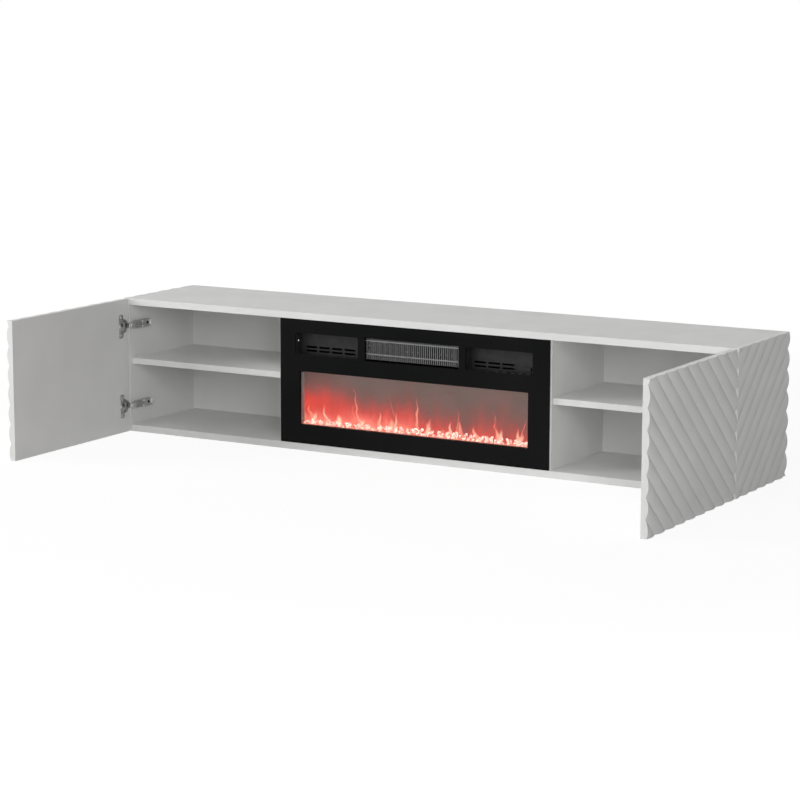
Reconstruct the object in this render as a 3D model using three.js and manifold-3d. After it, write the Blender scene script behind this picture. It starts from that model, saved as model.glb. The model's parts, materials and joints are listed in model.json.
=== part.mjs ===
// A low TV stand with two fluted doors, open at a right angle, and an electric fireplace between them.
// Millimetres: +X to the viewer's right, +Y to the wall, +Z up.
// The origin is the middle of the carcass' bottom face.
import * as THREE from "three";
import { mergeVertices } from "three/addons/utils/BufferGeometryUtils.js";
import Module from "manifold-3d";

const wasm = await Module();
wasm.setup();

// Clearances
const fit_gap = 0.3;
const cut_over = 2;
const weld = 0.4;

// Facets of round things
const fine_sides = 24;
const round_sides = 12;
const corner_steps = 4;

// Carcass
const carcass_width = 1800;
const carcass_depth = 325;
const carcass_height = 366;
const board_thick = 18;
const side_thick = 18;
const divider_thick = 18;
const divider_reveal = 4;
const back_thick = 3;
const back_inset = 19;
const groove_depth = 6;

// Shelves and the studs that carry them
const shelf_thick = 16;
const shelf_height = 185;
const shelf_setback = 12;
const pin_radius = 2.5;
const pin_length = 8;
const stud_radius = 3;
const stud_length = 9;
const stud_from_end = 40;

// Flutes: lobes that rise away from the corner between door and side
const flute_depth = 5;
const flute_pitch = 52.3;
const flute_start = 8;
const flute_steps = 6;
const flute_sharpness_share = 1.25;
const door_flute_rise_share = 0.9;
const side_flute_rise_share = 0.96;

// Doors
const door_thick = 18;
const door_reveal = 1;
const door_shut_gap = 3;
const door_shut_inset = 2;
const door_open_gap = 5;

// Concealed hinges
const hinge_from_end = 73;
const cup_radius = 17.2;
const cup_depth = 11;
const cup_wall = 0.8;
const cup_inset = 22.5;
const cup_flange = 1.5;
const flange_thick = 1.2;
const ear_thick = 1.5;
const ear_length = 5;
const wing_length = 65;
const wing_width = 20;
const wing_offset = 12.5;
const link_pin_inset = 5.6;
const link_pin_depth = 3.4;
const link_end_radius = 1.3;
const link_eye_radius = 3.2;
const link_thick = 2;
const link_width = 11;
const elbow_inset = 3.5;
const arm_pin_radius = 1.5;
const arm_pivot_lift = 7;
const arm_top_lift = 13;
const arm_sheet = 1.5;
const arm_width = 20;
const arm_back = 80;
const arm_step = 8;
const arm_lap = 4;
const arm_nose_reach = 3.3;
const arm_over_side = 3.1;
const plate_front = 22;
const plate_back = 78;

// Fireplace front
const glass_width = 792;
const glass_thick = 5;
const window_width = 673;
const window_above_floor = 51.5;
const window_under_recess = 43.5;
const window_reveal = 24;
const pane_thick = 3;
const pane_lap = 8;
const recess_inner = 158.5;
const recess_outer = 348.5;
const recess_height = 58;
const recess_from_bay_top = 36;
const recess_corner = 4;
const recess_depth = 32;
const grille_width = 275;
const grille_height = 62;
const grille_from_bay_top = 33.5;

// Grille
const wire_pitch = 5.95;
const wire_thick = 2.6;
const wire_end_gap_low = 5;
const wire_end_gap_high = 2;
const bar_height = 4.5;
const bar_depth = 2.4;
const bar_from_end_high = 4;
const bar_from_end_low = 17;
const grille_end_strip = 4;

// Casing
const casing_side_gap = 2;
const casing_top_gap = 2;
const casing_depth = 165;
const sheet_thick = 1.5;
const shield_over_window = 21.5;
const cover_vent_width = 60;
const cover_vent_height = 5;
const cover_vent_pitch = 80;
const cover_vent_rows = 3;
const cover_vent_row_pitch = 14;
const cover_vent_columns = 7;
const cover_vent_from_top = 60;

// Trays in the two recesses
const tray_wall = 2;
const tray_lip = 6;
const control_floor = 4;
const control_relief = 5;
const slot_height = 5;
const slot_row_low = 7.5;
const slot_row_high = 17.5;
const left_slot_first = 14;
const left_slot_width = 32;
const left_slot_pitch = 39;
const left_slot_columns = 4;
const right_slot_first = 8;
const right_slot_width = 34;
const right_slot_pitch = 40;
const right_slot_columns = 3;

// Push buttons and rocker
const button_names = ["button_power", "button_flame", "button_heat_low", "button_heat_high", "button_timer"];
const button_radius = 7;
const button_rise = 2.5;
const button_travel = 1.2;
const button_pitch = 22.4;
const button_from_wall = 15.5;
const button_setback = 8.2;
const button_pocket = 2;
const stem_radius = 3;
const collar_radius = 4.5;
const collar_height = 2;
const rocker_width = 19.2;
const rocker_height = 9.6;
const rocker_from_wall = 28.5;
const rocker_above_floor = 10;
const rocker_side_gap = 0.6;
const rocker_proud = 3.6;
const rocker_dip = 1.4;
const rocker_skirt = 0.8;
const rocker_barrel_radius = 5;
const rocker_tilt = THREE.MathUtils.degToRad(8);

// Flame picture
const screen_thick = 3;
const screen_lap = 3;
const ember_low = 5;
const ember_high = 12;
const ember_width = 11;
const strip_width = 12;
const strip_height = 2;
const strip_setback = 40;
const strip_end_gap = 40;
const diode_size = 5;
const diode_height = 1.2;
const diode_count = 12;
const rotor_setback = 60;
const rotor_over_sill = 5.5;
const rotor_radius = 18;
const rotor_end_gap = 18;
const rotor_shaft_radius = 2.5;
const flag_count = 10;
const flag_thick = 0.8;
const flag_length = 44;
const flag_turn = THREE.MathUtils.degToRad(36);
const bracket_thick = 3;
const bracket_width = 28;
const bracket_over = 10;
const motor_radius = 15;
const motor_length = 20;

// Fan heater
const heater_setback = 2;
const heater_depth = 17;
const heater_end_gap = 14;
const heater_slot_count = 14;
const heater_slot_share = 0.62;
const heater_rim = 6;
const duct_height = 46;
const blower_setback = 85;
const blower_over_grille_middle = 1.5;
const blower_radius = 26;
const blower_running_gap = 3;
const blower_half_length = 118;
const blower_blade_count = 10;
const blower_blade_depth = 4;
const blower_blade_thick = 1;
const blower_disc_thick = 2;
const blower_shaft_radius = 3;
const housing_wall = 3;
const housing_foot_length = 16;
const housing_foot_depth = 50;
const inlet_height = 14;
const blower_motor_radius = 22;
const blower_motor_length = 30;
const motor_bore_depth = 10;

// Cord inlet and the cable outlet in the back
const inlet_side = 290;
const inlet_height_up = 60;
const gland_flange_radius = 10;
const gland_collar_radius = 9;
const gland_neck_radius = 6;
const gland_bore_radius = 3.5;
const gland_flange_thick = 3;
const outlet_width = 80;
const outlet_height = 50;

// Finishes
const white_board = { color: 0xd9d9d7, roughness: 0.55, metalness: 0 };
const white_flutes = { color: 0xcfcfcd, roughness: 0.5, metalness: 0 };
const hinge_steel = { color: 0xb9babb, roughness: 0.32, metalness: 1 };
const black_glass = { color: 0x141516, roughness: 0.08, metalness: 0 };
const clear_glass = { color: 0xdfe5e6, roughness: 0.05, metalness: 0, transparent: true, opacity: 0.3 };
const black_sheet = { color: 0x1c1c1d, roughness: 0.6, metalness: 0.3 };
const black_plastic = { color: 0x222223, roughness: 0.5, metalness: 0 };
const grey_wire = { color: 0x8a8b8c, roughness: 0.4, metalness: 0.9 };
const flame_red = { color: 0xd8503f, roughness: 0.6, metalness: 0, emissive: 0xd8503f };
const crystal = { color: 0xf0e0c8, roughness: 0.15, metalness: 0 };
const bright_metal = { color: 0xc9cacc, roughness: 0.25, metalness: 1 };

// Places that follow from the sizes above
const half_width = carcass_width / 2;
const bay_bottom = board_thick;
const bay_top = carcass_height - board_thick;
const back_front = carcass_depth - back_inset - back_thick;
const back_y = [back_front, back_front + back_thick];
const glass_half = glass_width / 2;
const glass_edge = half_width - glass_half;
const divider_outboard = glass_edge - divider_reveal;
const divider_inboard = divider_outboard + divider_thick;
const lap_front = glass_thick + fit_gap;
const lap_back = lap_front + pane_thick;
const plate_face = lap_back + fit_gap;
const casing_half = half_width - divider_inboard - casing_side_gap;
const casing_bottom = bay_bottom + fit_gap;
const casing_top = bay_top - casing_top_gap;
const casing_floor = casing_bottom + sheet_thick;
const shelf_from = side_thick + fit_gap;
const shelf_to = divider_outboard - fit_gap;
const recess_top = bay_top - recess_from_bay_top;
const recess_bottom = recess_top - recess_height;
const grille_top = bay_top - grille_from_bay_top;
const grille_bottom = grille_top - grille_height;
const window_bottom = bay_bottom + window_above_floor;
const window_top = recess_bottom - window_under_recess;
const shield_height = window_top + shield_over_window;
const rotor_height = window_bottom + rotor_over_sill;
const blower_height = (grille_bottom + grille_top) / 2 + blower_over_grille_middle;

// Solids
const x_axis = new THREE.Vector3(1, 0, 0);
const y_axis = new THREE.Vector3(0, 1, 0);
const z_axis = new THREE.Vector3(0, 0, 1);

function solid(geometry) {
  geometry.deleteAttribute("normal");
  geometry.deleteAttribute("uv");
  const merged = mergeVertices(geometry);
  return new wasm.Manifold(
    new wasm.Mesh({
      numProp: 3,
      vertProperties: merged.attributes.position.array,
      triVerts: new Uint32Array(merged.index.array),
    }),
  );
}

function joined(bodies) {
  return bodies.reduce((whole, body) => whole.add(body));
}

function cutBy(body, tools) {
  return tools.reduce((rest, tool) => rest.subtract(tool), body);
}

function geometryOf(body) {
  const mesh = body.getMesh();
  const geometry = new THREE.BufferGeometry();
  geometry.setAttribute("position", new THREE.BufferAttribute(mesh.vertProperties, mesh.numProp));
  geometry.setIndex(new THREE.BufferAttribute(mesh.triVerts, 1));
  const faceted = geometry.toNonIndexed();
  faceted.computeVertexNormals();
  return faceted;
}

function piece(group, name, body, finish) {
  const mesh = new THREE.Mesh(geometryOf(body), new THREE.MeshStandardMaterial(finish));
  mesh.name = name;
  group.add(mesh);
}

function middle(span) {
  return (span[0] + span[1]) / 2;
}

function length(span) {
  return span[1] - span[0];
}

function around(centre, size) {
  return [centre - size / 2, centre + size / 2];
}

function grown(span, extra) {
  return [span[0] - extra, span[1] + extra];
}

function loop(count, make) {
  return Array.from({ length: count }, (_, index) => make(index));
}

function block(x, y, z) {
  const box = new THREE.BoxGeometry(length(x), length(y), length(z));
  box.translate(middle(x), middle(y), middle(z));
  return solid(box);
}

// A round bar along one axis. The centre gives its place on the other two.
function rod(axis, radius, span, centre, sides = round_sides) {
  const cylinder = new THREE.CylinderGeometry(radius, radius, length(span), sides);
  if (axis === "x") {
    cylinder.rotateZ(-Math.PI / 2);
  }
  if (axis === "z") {
    cylinder.rotateX(Math.PI / 2);
  }
  const at = { x: 0, y: 0, z: 0, ...centre, [axis]: middle(span) };
  cylinder.translate(at.x, at.y, at.z);
  return solid(cylinder);
}

function vectors(points) {
  return points.map(([a, b]) => new THREE.Vector2(a, b));
}

// An outline drawn in the plane of two axes and drawn out along the third.
function extruded(plane, points, span, holes = []) {
  const shape = new THREE.Shape(vectors(points));
  shape.holes = holes.map((hole) => new THREE.Path(vectors(hole)));
  const geometry = new THREE.ExtrudeGeometry(shape, { depth: length(span), bevelEnabled: false });
  if (plane === "xz") {
    geometry.rotateX(Math.PI / 2);
    geometry.translate(0, span[1], 0);
  }
  if (plane === "yz") {
    geometry.applyMatrix4(new THREE.Matrix4().makeBasis(y_axis, z_axis, x_axis));
    geometry.translate(span[0], 0, 0);
  }
  return solid(geometry);
}

function rectangle(a, b) {
  return [
    [a[0], b[0]],
    [a[1], b[0]],
    [a[1], b[1]],
    [a[0], b[1]],
  ];
}

function arc(centre, radius, from, to, steps) {
  return loop(steps + 1, (index) => {
    const angle = from + ((to - from) * index) / steps;
    return [centre[0] + radius * Math.cos(angle), centre[1] + radius * Math.sin(angle)];
  });
}

function roundedRectangle(a, b, radius) {
  const quarter = Math.PI / 2;
  const inner_a = grown(a, -radius);
  const inner_b = grown(b, -radius);
  const corners = [
    [inner_a[1], inner_b[0], -quarter],
    [inner_a[1], inner_b[1], 0],
    [inner_a[0], inner_b[1], quarter],
    [inner_a[0], inner_b[0], 2 * quarter],
  ];
  return corners.flatMap(([ca, cb, start]) => arc([ca, cb], radius, start, start + quarter, corner_steps));
}

// Carcass: boards, dividers and back sheets
function grooveAlong(face, into) {
  return {
    depth: into > 0 ? [face - cut_over, face + groove_depth] : [face - groove_depth, face + cut_over],
    across: grown(back_y, fit_gap),
  };
}

function boards() {
  const carcass = new THREE.Group();
  carcass.position.set(0, -carcass_depth / 2, 0);
  const inner_half = half_width - side_thick - fit_gap;
  const x = [-inner_half, inner_half];
  const y = [0, carcass_depth];
  const slot = (groove) => block(grown(x, cut_over), groove.across, groove.depth);
  const bottom = block(x, y, [0, board_thick]).subtract(slot(grooveAlong(bay_bottom, -1)));
  const top = block(x, y, [bay_top, carcass_height]).subtract(slot(grooveAlong(bay_top, 1)));
  piece(carcass, "bottom_panel", bottom, white_board);
  piece(carcass, "top_panel", top, white_board);
  const sheet_half = half_width - divider_inboard + groove_depth - fit_gap;
  const outlet = block(
    around(-inlet_side, outlet_width),
    grown(back_y, cut_over),
    around(inlet_height_up, outlet_height),
  );
  const sheet = block([-sheet_half, sheet_half], back_y, sheetHeights());
  piece(carcass, "centre_back_panel", sheet.subtract(outlet), white_board);
  return carcass;
}

function sheetHeights() {
  return grown([bay_bottom, bay_top], groove_depth - fit_gap);
}

// A board whose outer face, at x = 0, has slanted flutes that rise away from the corner.
function flutedBoard(thick, y, z, corner, rise) {
  const away = Math.sign(middle(y) - corner);
  const slant = Math.atan(rise);
  const sine = Math.sin(slant);
  const cosine = Math.cos(slant);
  const ends = y.flatMap((a) => z.map((b) => [a - corner, b]));
  const across = ends.map(([a, b]) => cosine * b - away * sine * a);
  const along = ends.map(([a, b]) => cosine * a + away * sine * b);
  const first = Math.floor(((Math.min(...across) / cosine - flute_start) / flute_pitch) * flute_steps) - 1;
  const last = Math.ceil(((Math.max(...across) / cosine - flute_start) / flute_pitch) * flute_steps) + 1;
  const wave = loop(last - first + 1, (index) => {
    const phase = (first + index) / flute_steps;
    const hollow = Math.pow(1 - Math.abs(Math.sin(Math.PI * phase)), flute_sharpness_share);
    return [(flute_start + flute_pitch * phase) * cosine, flute_depth * hollow];
  });
  const far = thick + cut_over;
  const outline = [...wave, [wave.at(-1)[0], far], [wave[0][0], far]];
  const span = grown([Math.min(...along), Math.max(...along)], cut_over);
  const shape = new THREE.Shape(vectors(outline));
  const geometry = new THREE.ExtrudeGeometry(shape, { depth: length(span), bevelEnabled: false });
  geometry.translate(0, 0, span[0]);
  const across_axis = new THREE.Vector3(0, -away * sine, cosine);
  const along_axis = new THREE.Vector3(0, cosine, away * sine);
  const place = new THREE.Matrix4().makeBasis(across_axis, x_axis, along_axis);
  place.setPosition(0, corner, 0);
  geometry.applyMatrix4(place);
  return solid(geometry).intersect(block([-cut_over, thick], y, z));
}

// One end of the stand, measured from its outer face inwards, from the carcass' front face back.
// The left end stands as it is, and the right end is its mirror image.
const stud_height = shelf_height - fit_gap - stud_radius;
const stud_places = [shelf_setback + stud_from_end, back_front - stud_from_end];

function studHole(face, into, y) {
  const deep = pin_length + fit_gap;
  const span = into > 0 ? [face - cut_over, face + deep] : [face - deep, face + cut_over];
  return rod("x", pin_radius + fit_gap, span, { y, z: stud_height });
}

function shelfStud(face, into, y) {
  const pin = [face - into * (fit_gap + weld), face + into * pin_length];
  const stud = [face - into * stud_length, face - into * fit_gap];
  const order = (span) => [...span].sort((a, b) => a - b);
  const at = { y, z: stud_height };
  return joined([rod("x", pin_radius, order(pin), at), rod("x", stud_radius, order(stud), at)]);
}

function sidePanel() {
  const y = [0, carcass_depth];
  const z = [0, carcass_height];
  const board = flutedBoard(side_thick, y, z, 0, side_flute_rise_share);
  const groove = grooveAlong(side_thick, -1);
  const slot = block(groove.depth, groove.across, grown([bay_bottom, bay_top], groove_depth));
  const holes = stud_places.map((place) => studHole(side_thick, -1, place));
  return cutBy(board, [slot, ...holes]);
}

function divider() {
  const z = grown([bay_bottom, bay_top], -fit_gap);
  const board = block([divider_outboard, divider_inboard], [lap_front, carcass_depth], z);
  const grooves = [grooveAlong(divider_outboard, 1), grooveAlong(divider_inboard, -1)];
  const slots = grooves.map((groove) => block(groove.depth, groove.across, grown(z, cut_over)));
  const holes = stud_places.map((place) => studHole(divider_outboard, 1, place));
  return cutBy(board, [...slots, ...holes]);
}

// The door stands open. Shut, it lies over the front, turned a quarter about the hinge pivot.
const door_width = glass_edge - door_shut_inset;
const pivot = {
  x: (door_shut_gap + door_thick + door_shut_inset - door_open_gap) / 2,
  y: (door_shut_inset - door_open_gap - door_shut_gap - door_thick) / 2,
};
const cup_centre = -door_open_gap - cup_inset;
const hinge_heights = { upper: carcass_height - hinge_from_end, lower: hinge_from_end };

function door() {
  const y = [-door_open_gap - door_width, -door_open_gap];
  const z = [door_reveal, carcass_height - door_reveal];
  const board = flutedBoard(door_thick, y, z, -door_open_gap, door_flute_rise_share);
  const bore = [door_thick - cup_depth - fit_gap, door_thick + cut_over];
  const bores = Object.values(hinge_heights).map((height) =>
    rod("x", cup_radius + fit_gap, bore, { y: cup_centre, z: height }, fine_sides),
  );
  return cutBy(board, bores);
}

// The link's pin in the cup, with the door shut and open, and its pin in the arm,
// which lies as far from the one as from the other.
const shut_pin = {
  x: door_shut_inset + cup_inset - cup_radius - fit_gap + link_pin_inset,
  y: -door_shut_gap - link_pin_depth,
};
const pin_run = { x: shut_pin.x - pivot.x, y: shut_pin.y - pivot.y };
const open_pin = { x: pivot.x + pin_run.y, y: pivot.y - pin_run.x };
const arm_pin_x = side_thick + arm_pivot_lift;
const arm_pin = {
  x: arm_pin_x,
  y: pivot.y + ((arm_pin_x - pivot.x) * (pin_run.y - pin_run.x)) / (pin_run.x + pin_run.y),
};

// A pair of plates on both sides of what turns between them.
function cheeks(x, y, height, inner, thick) {
  return [-1, 1].map((side) => {
    const near = height + side * inner;
    const far = height + side * (inner + thick);
    return block(x, y, [Math.min(near, far), Math.max(near, far)]);
  });
}

// The cup has an ear on each side of the link's end.
function hingeCup(z) {
  const at = { y: cup_centre, z };
  const face = door_thick + fit_gap;
  const flange = [face, face + flange_thick];
  const cup = rod("x", cup_radius, [door_thick - cup_depth, face + weld], at, fine_sides);
  const ring = rod("x", cup_radius + cup_flange, flange, at, fine_sides);
  const wings = block(flange, around(cup_centre - wing_offset, wing_width), around(z, wing_length));
  const cup_floor = door_thick - cup_depth + cup_wall;
  const hollow = rod("x", cup_radius - cup_wall, [cup_floor, face + flange_thick + cut_over], at, fine_sides);
  const ear = [cup_floor - weld, door_thick];
  const ears = cheeks(ear, around(open_pin.y, ear_length), z, link_width / 2 + fit_gap, ear_thick);
  return joined([joined([cup, ring, wings]).subtract(hollow), ...ears]);
}

function strap(from, to, thick, z) {
  const run = Math.hypot(to.x - from.x, to.y - from.y);
  const box = new THREE.BoxGeometry(run, thick, length(z));
  box.rotateZ(Math.atan2(to.y - from.y, to.x - from.x));
  box.translate((from.x + to.x) / 2, (from.y + to.y) / 2, middle(z));
  return solid(box);
}

function hingeLink(height) {
  const z = around(height, link_width);
  const elbow = { x: arm_pin.x - elbow_inset, y: open_pin.y };
  const bent = joined([
    strap(open_pin, elbow, link_thick, z),
    strap(elbow, arm_pin, link_thick, z),
    rod("z", link_thick / 2, z, elbow),
    rod("z", link_end_radius, z, open_pin),
    rod("z", link_eye_radius, z, arm_pin),
  ]);
  return bent.subtract(rod("z", arm_pin_radius + fit_gap, grown(z, cut_over), arm_pin));
}

const arm_top = side_thick + arm_top_lift;
const arm_under = side_thick + arm_over_side;
const arm_nose = arm_pin.y - arm_nose_reach;

function hingeArm(height) {
  const web = [arm_top - arm_sheet, arm_top];
  const nose_inner = link_width / 2 + fit_gap;
  const rear_inner = arm_width / 2 - arm_sheet;
  const nose = [arm_nose, arm_step + arm_lap];
  const rear = [arm_step, arm_back];
  return joined([
    block(web, nose, around(height, 2 * (nose_inner + arm_sheet))),
    block(web, rear, around(height, arm_width)),
    ...cheeks([arm_pin.x - arm_nose_reach, arm_top], nose, height, nose_inner, arm_sheet),
    ...cheeks([arm_under, arm_top], rear, height, rear_inner, arm_sheet),
    rod("z", arm_pin_radius, around(height, 2 * nose_inner + arm_sheet), arm_pin),
  ]);
}

function mountingPlate(height) {
  return block(
    [side_thick + fit_gap, arm_top - arm_sheet - fit_gap],
    [plate_front, plate_back],
    around(height, arm_width - 2 * (arm_sheet + fit_gap)),
  );
}

function endOfStand(side, mirror) {
  const end = new THREE.Group();
  end.position.set(mirror * -half_width, -carcass_depth / 2, 0);
  end.scale.x = mirror;
  piece(end, side + "_side_panel", sidePanel(), white_flutes);
  piece(end, side + "_divider", divider(), white_board);
  const sheet_x = [side_thick - groove_depth + fit_gap, divider_outboard + groove_depth - fit_gap];
  piece(end, side + "_back_panel", block(sheet_x, back_y, sheetHeights()), white_board);
  const shelf = block(
    [shelf_from, shelf_to],
    [shelf_setback, back_front - fit_gap],
    [shelf_height, shelf_height + shelf_thick],
  );
  piece(end, side + "_shelf", shelf, white_board);
  stud_places.forEach((place, index) => {
    piece(end, side + "_shelf_pin_" + (index + 1), shelfStud(side_thick, -1, place), bright_metal);
    piece(end, side + "_shelf_pin_" + (index + 3), shelfStud(divider_outboard, 1, place), bright_metal);
  });
  piece(end, side + "_door", door(), white_flutes);
  Object.entries(hinge_heights).forEach(([level, height]) => {
    const stem = side + "_" + level + "_";
    piece(end, stem + "hinge_cup", hingeCup(height), hinge_steel);
    piece(end, stem + "hinge_link", hingeLink(height), hinge_steel);
    piece(end, stem + "hinge_arm", hingeArm(height), hinge_steel);
    piece(end, stem + "mounting_plate", mountingPlate(height), hinge_steel);
  });
  return end;
}

// Fireplace front
const window_x = around(0, window_width);
const window_z = [window_bottom, window_top];
const grille_x = around(0, grille_width);
const grille_z = [grille_bottom, grille_top];
const left_recess_x = [-recess_outer, -recess_inner];
const right_recess_x = [recess_inner, recess_outer];
const recess_z = [recess_bottom, recess_top];

function glassFront() {
  const holes = [
    rectangle(window_x, window_z),
    rectangle(grille_x, grille_z),
    roundedRectangle(left_recess_x, recess_z, recess_corner),
    roundedRectangle(right_recess_x, recess_z, recess_corner),
  ];
  const outline = rectangle([-glass_half, glass_half], grown([bay_bottom, bay_top], -fit_gap));
  return extruded("xz", outline, [0, glass_thick], holes);
}

function flameWindow() {
  return block(grown(window_x, pane_lap), [lap_front, lap_back], grown(window_z, pane_lap));
}

// Casing: front plate, window reveal, four walls, heat shield and the flame rotor's brackets
function trayAperture(x, floor, relief) {
  const clear = tray_wall + fit_gap;
  return rectangle(grown(x, clear), [recess_bottom - floor - fit_gap - relief, recess_top + clear]);
}

function ring(outer_x, outer_z, wall, y) {
  const inner = block(grown(outer_x, -wall), grown(y, cut_over), grown(outer_z, -wall));
  return block(outer_x, y, outer_z).subtract(inner);
}

const bracket_x = window_width / 2 - rotor_end_gap;
const rotor_at = { y: rotor_setback, z: rotor_height };

function bracket(x) {
  const span = [x, x + bracket_thick];
  const z = [casing_floor - weld, rotor_height + bracket_over];
  const plate = block(span, around(rotor_setback, bracket_width), z);
  return plate.subtract(rod("x", rotor_shaft_radius + fit_gap, grown(span, cut_over), rotor_at));
}

function fireboxShell() {
  const outer_x = [-casing_half, casing_half];
  const outer_z = [casing_bottom, casing_top];
  const walls_y = [plate_face, casing_depth];
  const apertures = [
    rectangle(window_x, window_z),
    rectangle(grown(grille_x, grille_end_strip + fit_gap), grown(grille_z, fit_gap)),
    trayAperture(left_recess_x, tray_wall, 0),
    trayAperture(right_recess_x, control_floor, control_relief),
  ];
  const front_y = [plate_face, plate_face + sheet_thick];
  const front = extruded("xz", rectangle(outer_x, outer_z), front_y, apertures);
  const reveal_y = [plate_face, window_reveal];
  const shield = block(
    grown(outer_x, -sheet_thick + weld),
    [plate_face + sheet_thick - weld, casing_depth],
    [shield_height, shield_height + sheet_thick],
  );
  return joined([
    front,
    ring(outer_x, outer_z, sheet_thick, walls_y),
    ring(grown(window_x, sheet_thick), grown(window_z, sheet_thick), sheet_thick, reveal_y),
    shield,
    bracket(-bracket_x - bracket_thick),
    bracket(bracket_x),
  ]);
}

const gland_at = { x: -inlet_side, z: inlet_height_up };

function backCover() {
  const y = [casing_depth + fit_gap, casing_depth + fit_gap + sheet_thick];
  const over = grown(y, cut_over);
  const vents = loop(cover_vent_columns * cover_vent_rows, (index) => {
    const column = (index % cover_vent_columns) - (cover_vent_columns - 1) / 2;
    const row = Math.floor(index / cover_vent_columns);
    return block(
      around(column * cover_vent_pitch, cover_vent_width),
      over,
      around(casing_top - cover_vent_from_top - row * cover_vent_row_pitch, cover_vent_height),
    );
  });
  const cover = block([-casing_half, casing_half], y, [casing_bottom, casing_top]);
  return cutBy(cover, [...vents, rod("y", gland_neck_radius + fit_gap, over, gland_at)]);
}

function cordInlet() {
  const inside = casing_depth;
  const outside = casing_depth + sheet_thick + 2 * fit_gap;
  const neck = [inside - gland_flange_thick, outside + gland_flange_thick];
  const gland = joined([
    rod("y", gland_neck_radius, neck, gland_at),
    rod("y", gland_collar_radius, [inside - gland_flange_thick, inside], gland_at),
    rod("y", gland_flange_radius, [outside, outside + gland_flange_thick], gland_at),
  ]);
  return gland.subtract(rod("y", gland_bore_radius, grown(neck, cut_over), gland_at));
}

// Trays: an open box behind each recess, with a lip between glass and casing
const tray_back = [recess_depth, recess_depth + tray_wall];

function tray(x, floor) {
  const walls = [recess_bottom - floor, recess_top + tray_wall];
  const box = block(grown(x, tray_wall), [lap_front, tray_back[1]], walls);
  const lip = block(grown(x, tray_wall + tray_lip), [lap_front, lap_back], grown(walls, tray_lip));
  const hollow_y = [lap_front - cut_over, recess_depth];
  const hollow = extruded("xz", roundedRectangle(x, recess_z, recess_corner), hollow_y);
  return box.add(lip).subtract(hollow);
}

function ventSlots(x, first, width, pitch, columns) {
  const through = grown(tray_back, cut_over);
  return [slot_row_low, slot_row_high].flatMap((row) =>
    loop(columns, (index) => {
      const start = x[0] + first + index * pitch;
      return block([start, start + width], through, around(recess_bottom + row, slot_height));
    }),
  );
}

function leftVentTray() {
  const slots = ventSlots(
    left_recess_x,
    left_slot_first,
    left_slot_width,
    left_slot_pitch,
    left_slot_columns,
  );
  return cutBy(tray(left_recess_x, tray_wall), slots);
}

const button_y = lap_front + button_setback;
const rocker_x = recess_outer - rocker_from_wall;
const rocker_z = recess_bottom + rocker_above_floor;

function buttonX(index) {
  return recess_outer - button_from_wall - index * button_pitch;
}

function rightControlTray() {
  const slots = ventSlots(
    right_recess_x,
    right_slot_first,
    right_slot_width,
    right_slot_pitch,
    right_slot_columns,
  );
  const pocket = [recess_bottom - button_pocket, recess_bottom + cut_over];
  const hole = [recess_bottom - control_floor - cut_over, recess_bottom];
  const sockets = button_names.flatMap((_, index) => {
    const at = { x: buttonX(index), y: button_y };
    const cap_pocket = rod("z", button_radius + fit_gap, pocket, at, fine_sides);
    return [cap_pocket, rod("z", stem_radius + fit_gap, hole, at)];
  });
  const rocker_hole = block(
    around(rocker_x, rocker_width + 2 * rocker_side_gap),
    grown(tray_back, cut_over),
    around(rocker_z, rocker_height + 2 * fit_gap),
  );
  return cutBy(tray(right_recess_x, control_floor), [...slots, ...sockets, rocker_hole]);
}

// A button: cap in its pocket, stem through the floor, and a collar under it
function pushButton(index) {
  const at = { x: buttonX(index), y: button_y };
  const cap_bottom = recess_bottom - button_pocket + button_travel + fit_gap;
  const collar_top = recess_bottom - control_floor - fit_gap;
  return joined([
    rod("z", button_radius, [cap_bottom, recess_bottom + button_rise], at, fine_sides),
    rod("z", stem_radius, [collar_top - weld, cap_bottom + weld], at),
    rod("z", collar_radius, [collar_top - collar_height, collar_top], at),
  ]);
}

// The rocker leans one way at rest, about an upright axis in the middle of the tray's back
function powerSwitch() {
  const half = rocker_width / 2;
  const outline = [
    [half, rocker_skirt],
    ...arc([0, rocker_skirt], rocker_barrel_radius, 0, Math.PI, round_sides / 2),
    [-half, rocker_skirt],
    [-half, -rocker_proud],
    [0, rocker_dip - rocker_proud],
    [half, -rocker_proud],
  ];
  const shape = new THREE.Shape(vectors(outline));
  const geometry = new THREE.ExtrudeGeometry(shape, { depth: rocker_height, bevelEnabled: false });
  geometry.rotateZ(-rocker_tilt);
  geometry.translate(rocker_x, middle(tray_back), rocker_z - rocker_height / 2);
  return solid(geometry);
}

function heaterGrille() {
  const wire_y = [lap_front, lap_front + wire_thick];
  const bar_y = [wire_y[1] - weld, wire_y[1] + bar_depth];
  const full_x = grown(grille_x, grille_end_strip);
  const count = Math.floor(grille_width / wire_pitch);
  const wires = loop(count, (index) =>
    block(
      around((index - (count - 1) / 2) * wire_pitch, wire_thick),
      wire_y,
      [grille_bottom + wire_end_gap_low, grille_top - wire_end_gap_high],
    ),
  );
  const high = [grille_top - bar_from_end_high - bar_height, grille_top - bar_from_end_high];
  const low = [grille_bottom + bar_from_end_low, grille_bottom + bar_from_end_low + bar_height];
  const ends = [
    [full_x[0], grille_x[0] - fit_gap],
    [grille_x[1] + fit_gap, full_x[1]],
  ];
  return joined([
    block(full_x, bar_y, high),
    block(full_x, bar_y, low),
    ...ends.map((x) => block(x, [lap_front, bar_y[1]], grille_z)),
    ...wires,
  ]);
}

// Flame picture: screen, crystals, light strip and the turning reflector
const screen_front = window_reveal + fit_gap;

function flameScreen() {
  const y = [screen_front, screen_front + screen_thick];
  return block(grown(window_x, screen_lap), y, grown(window_z, screen_lap));
}

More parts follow.
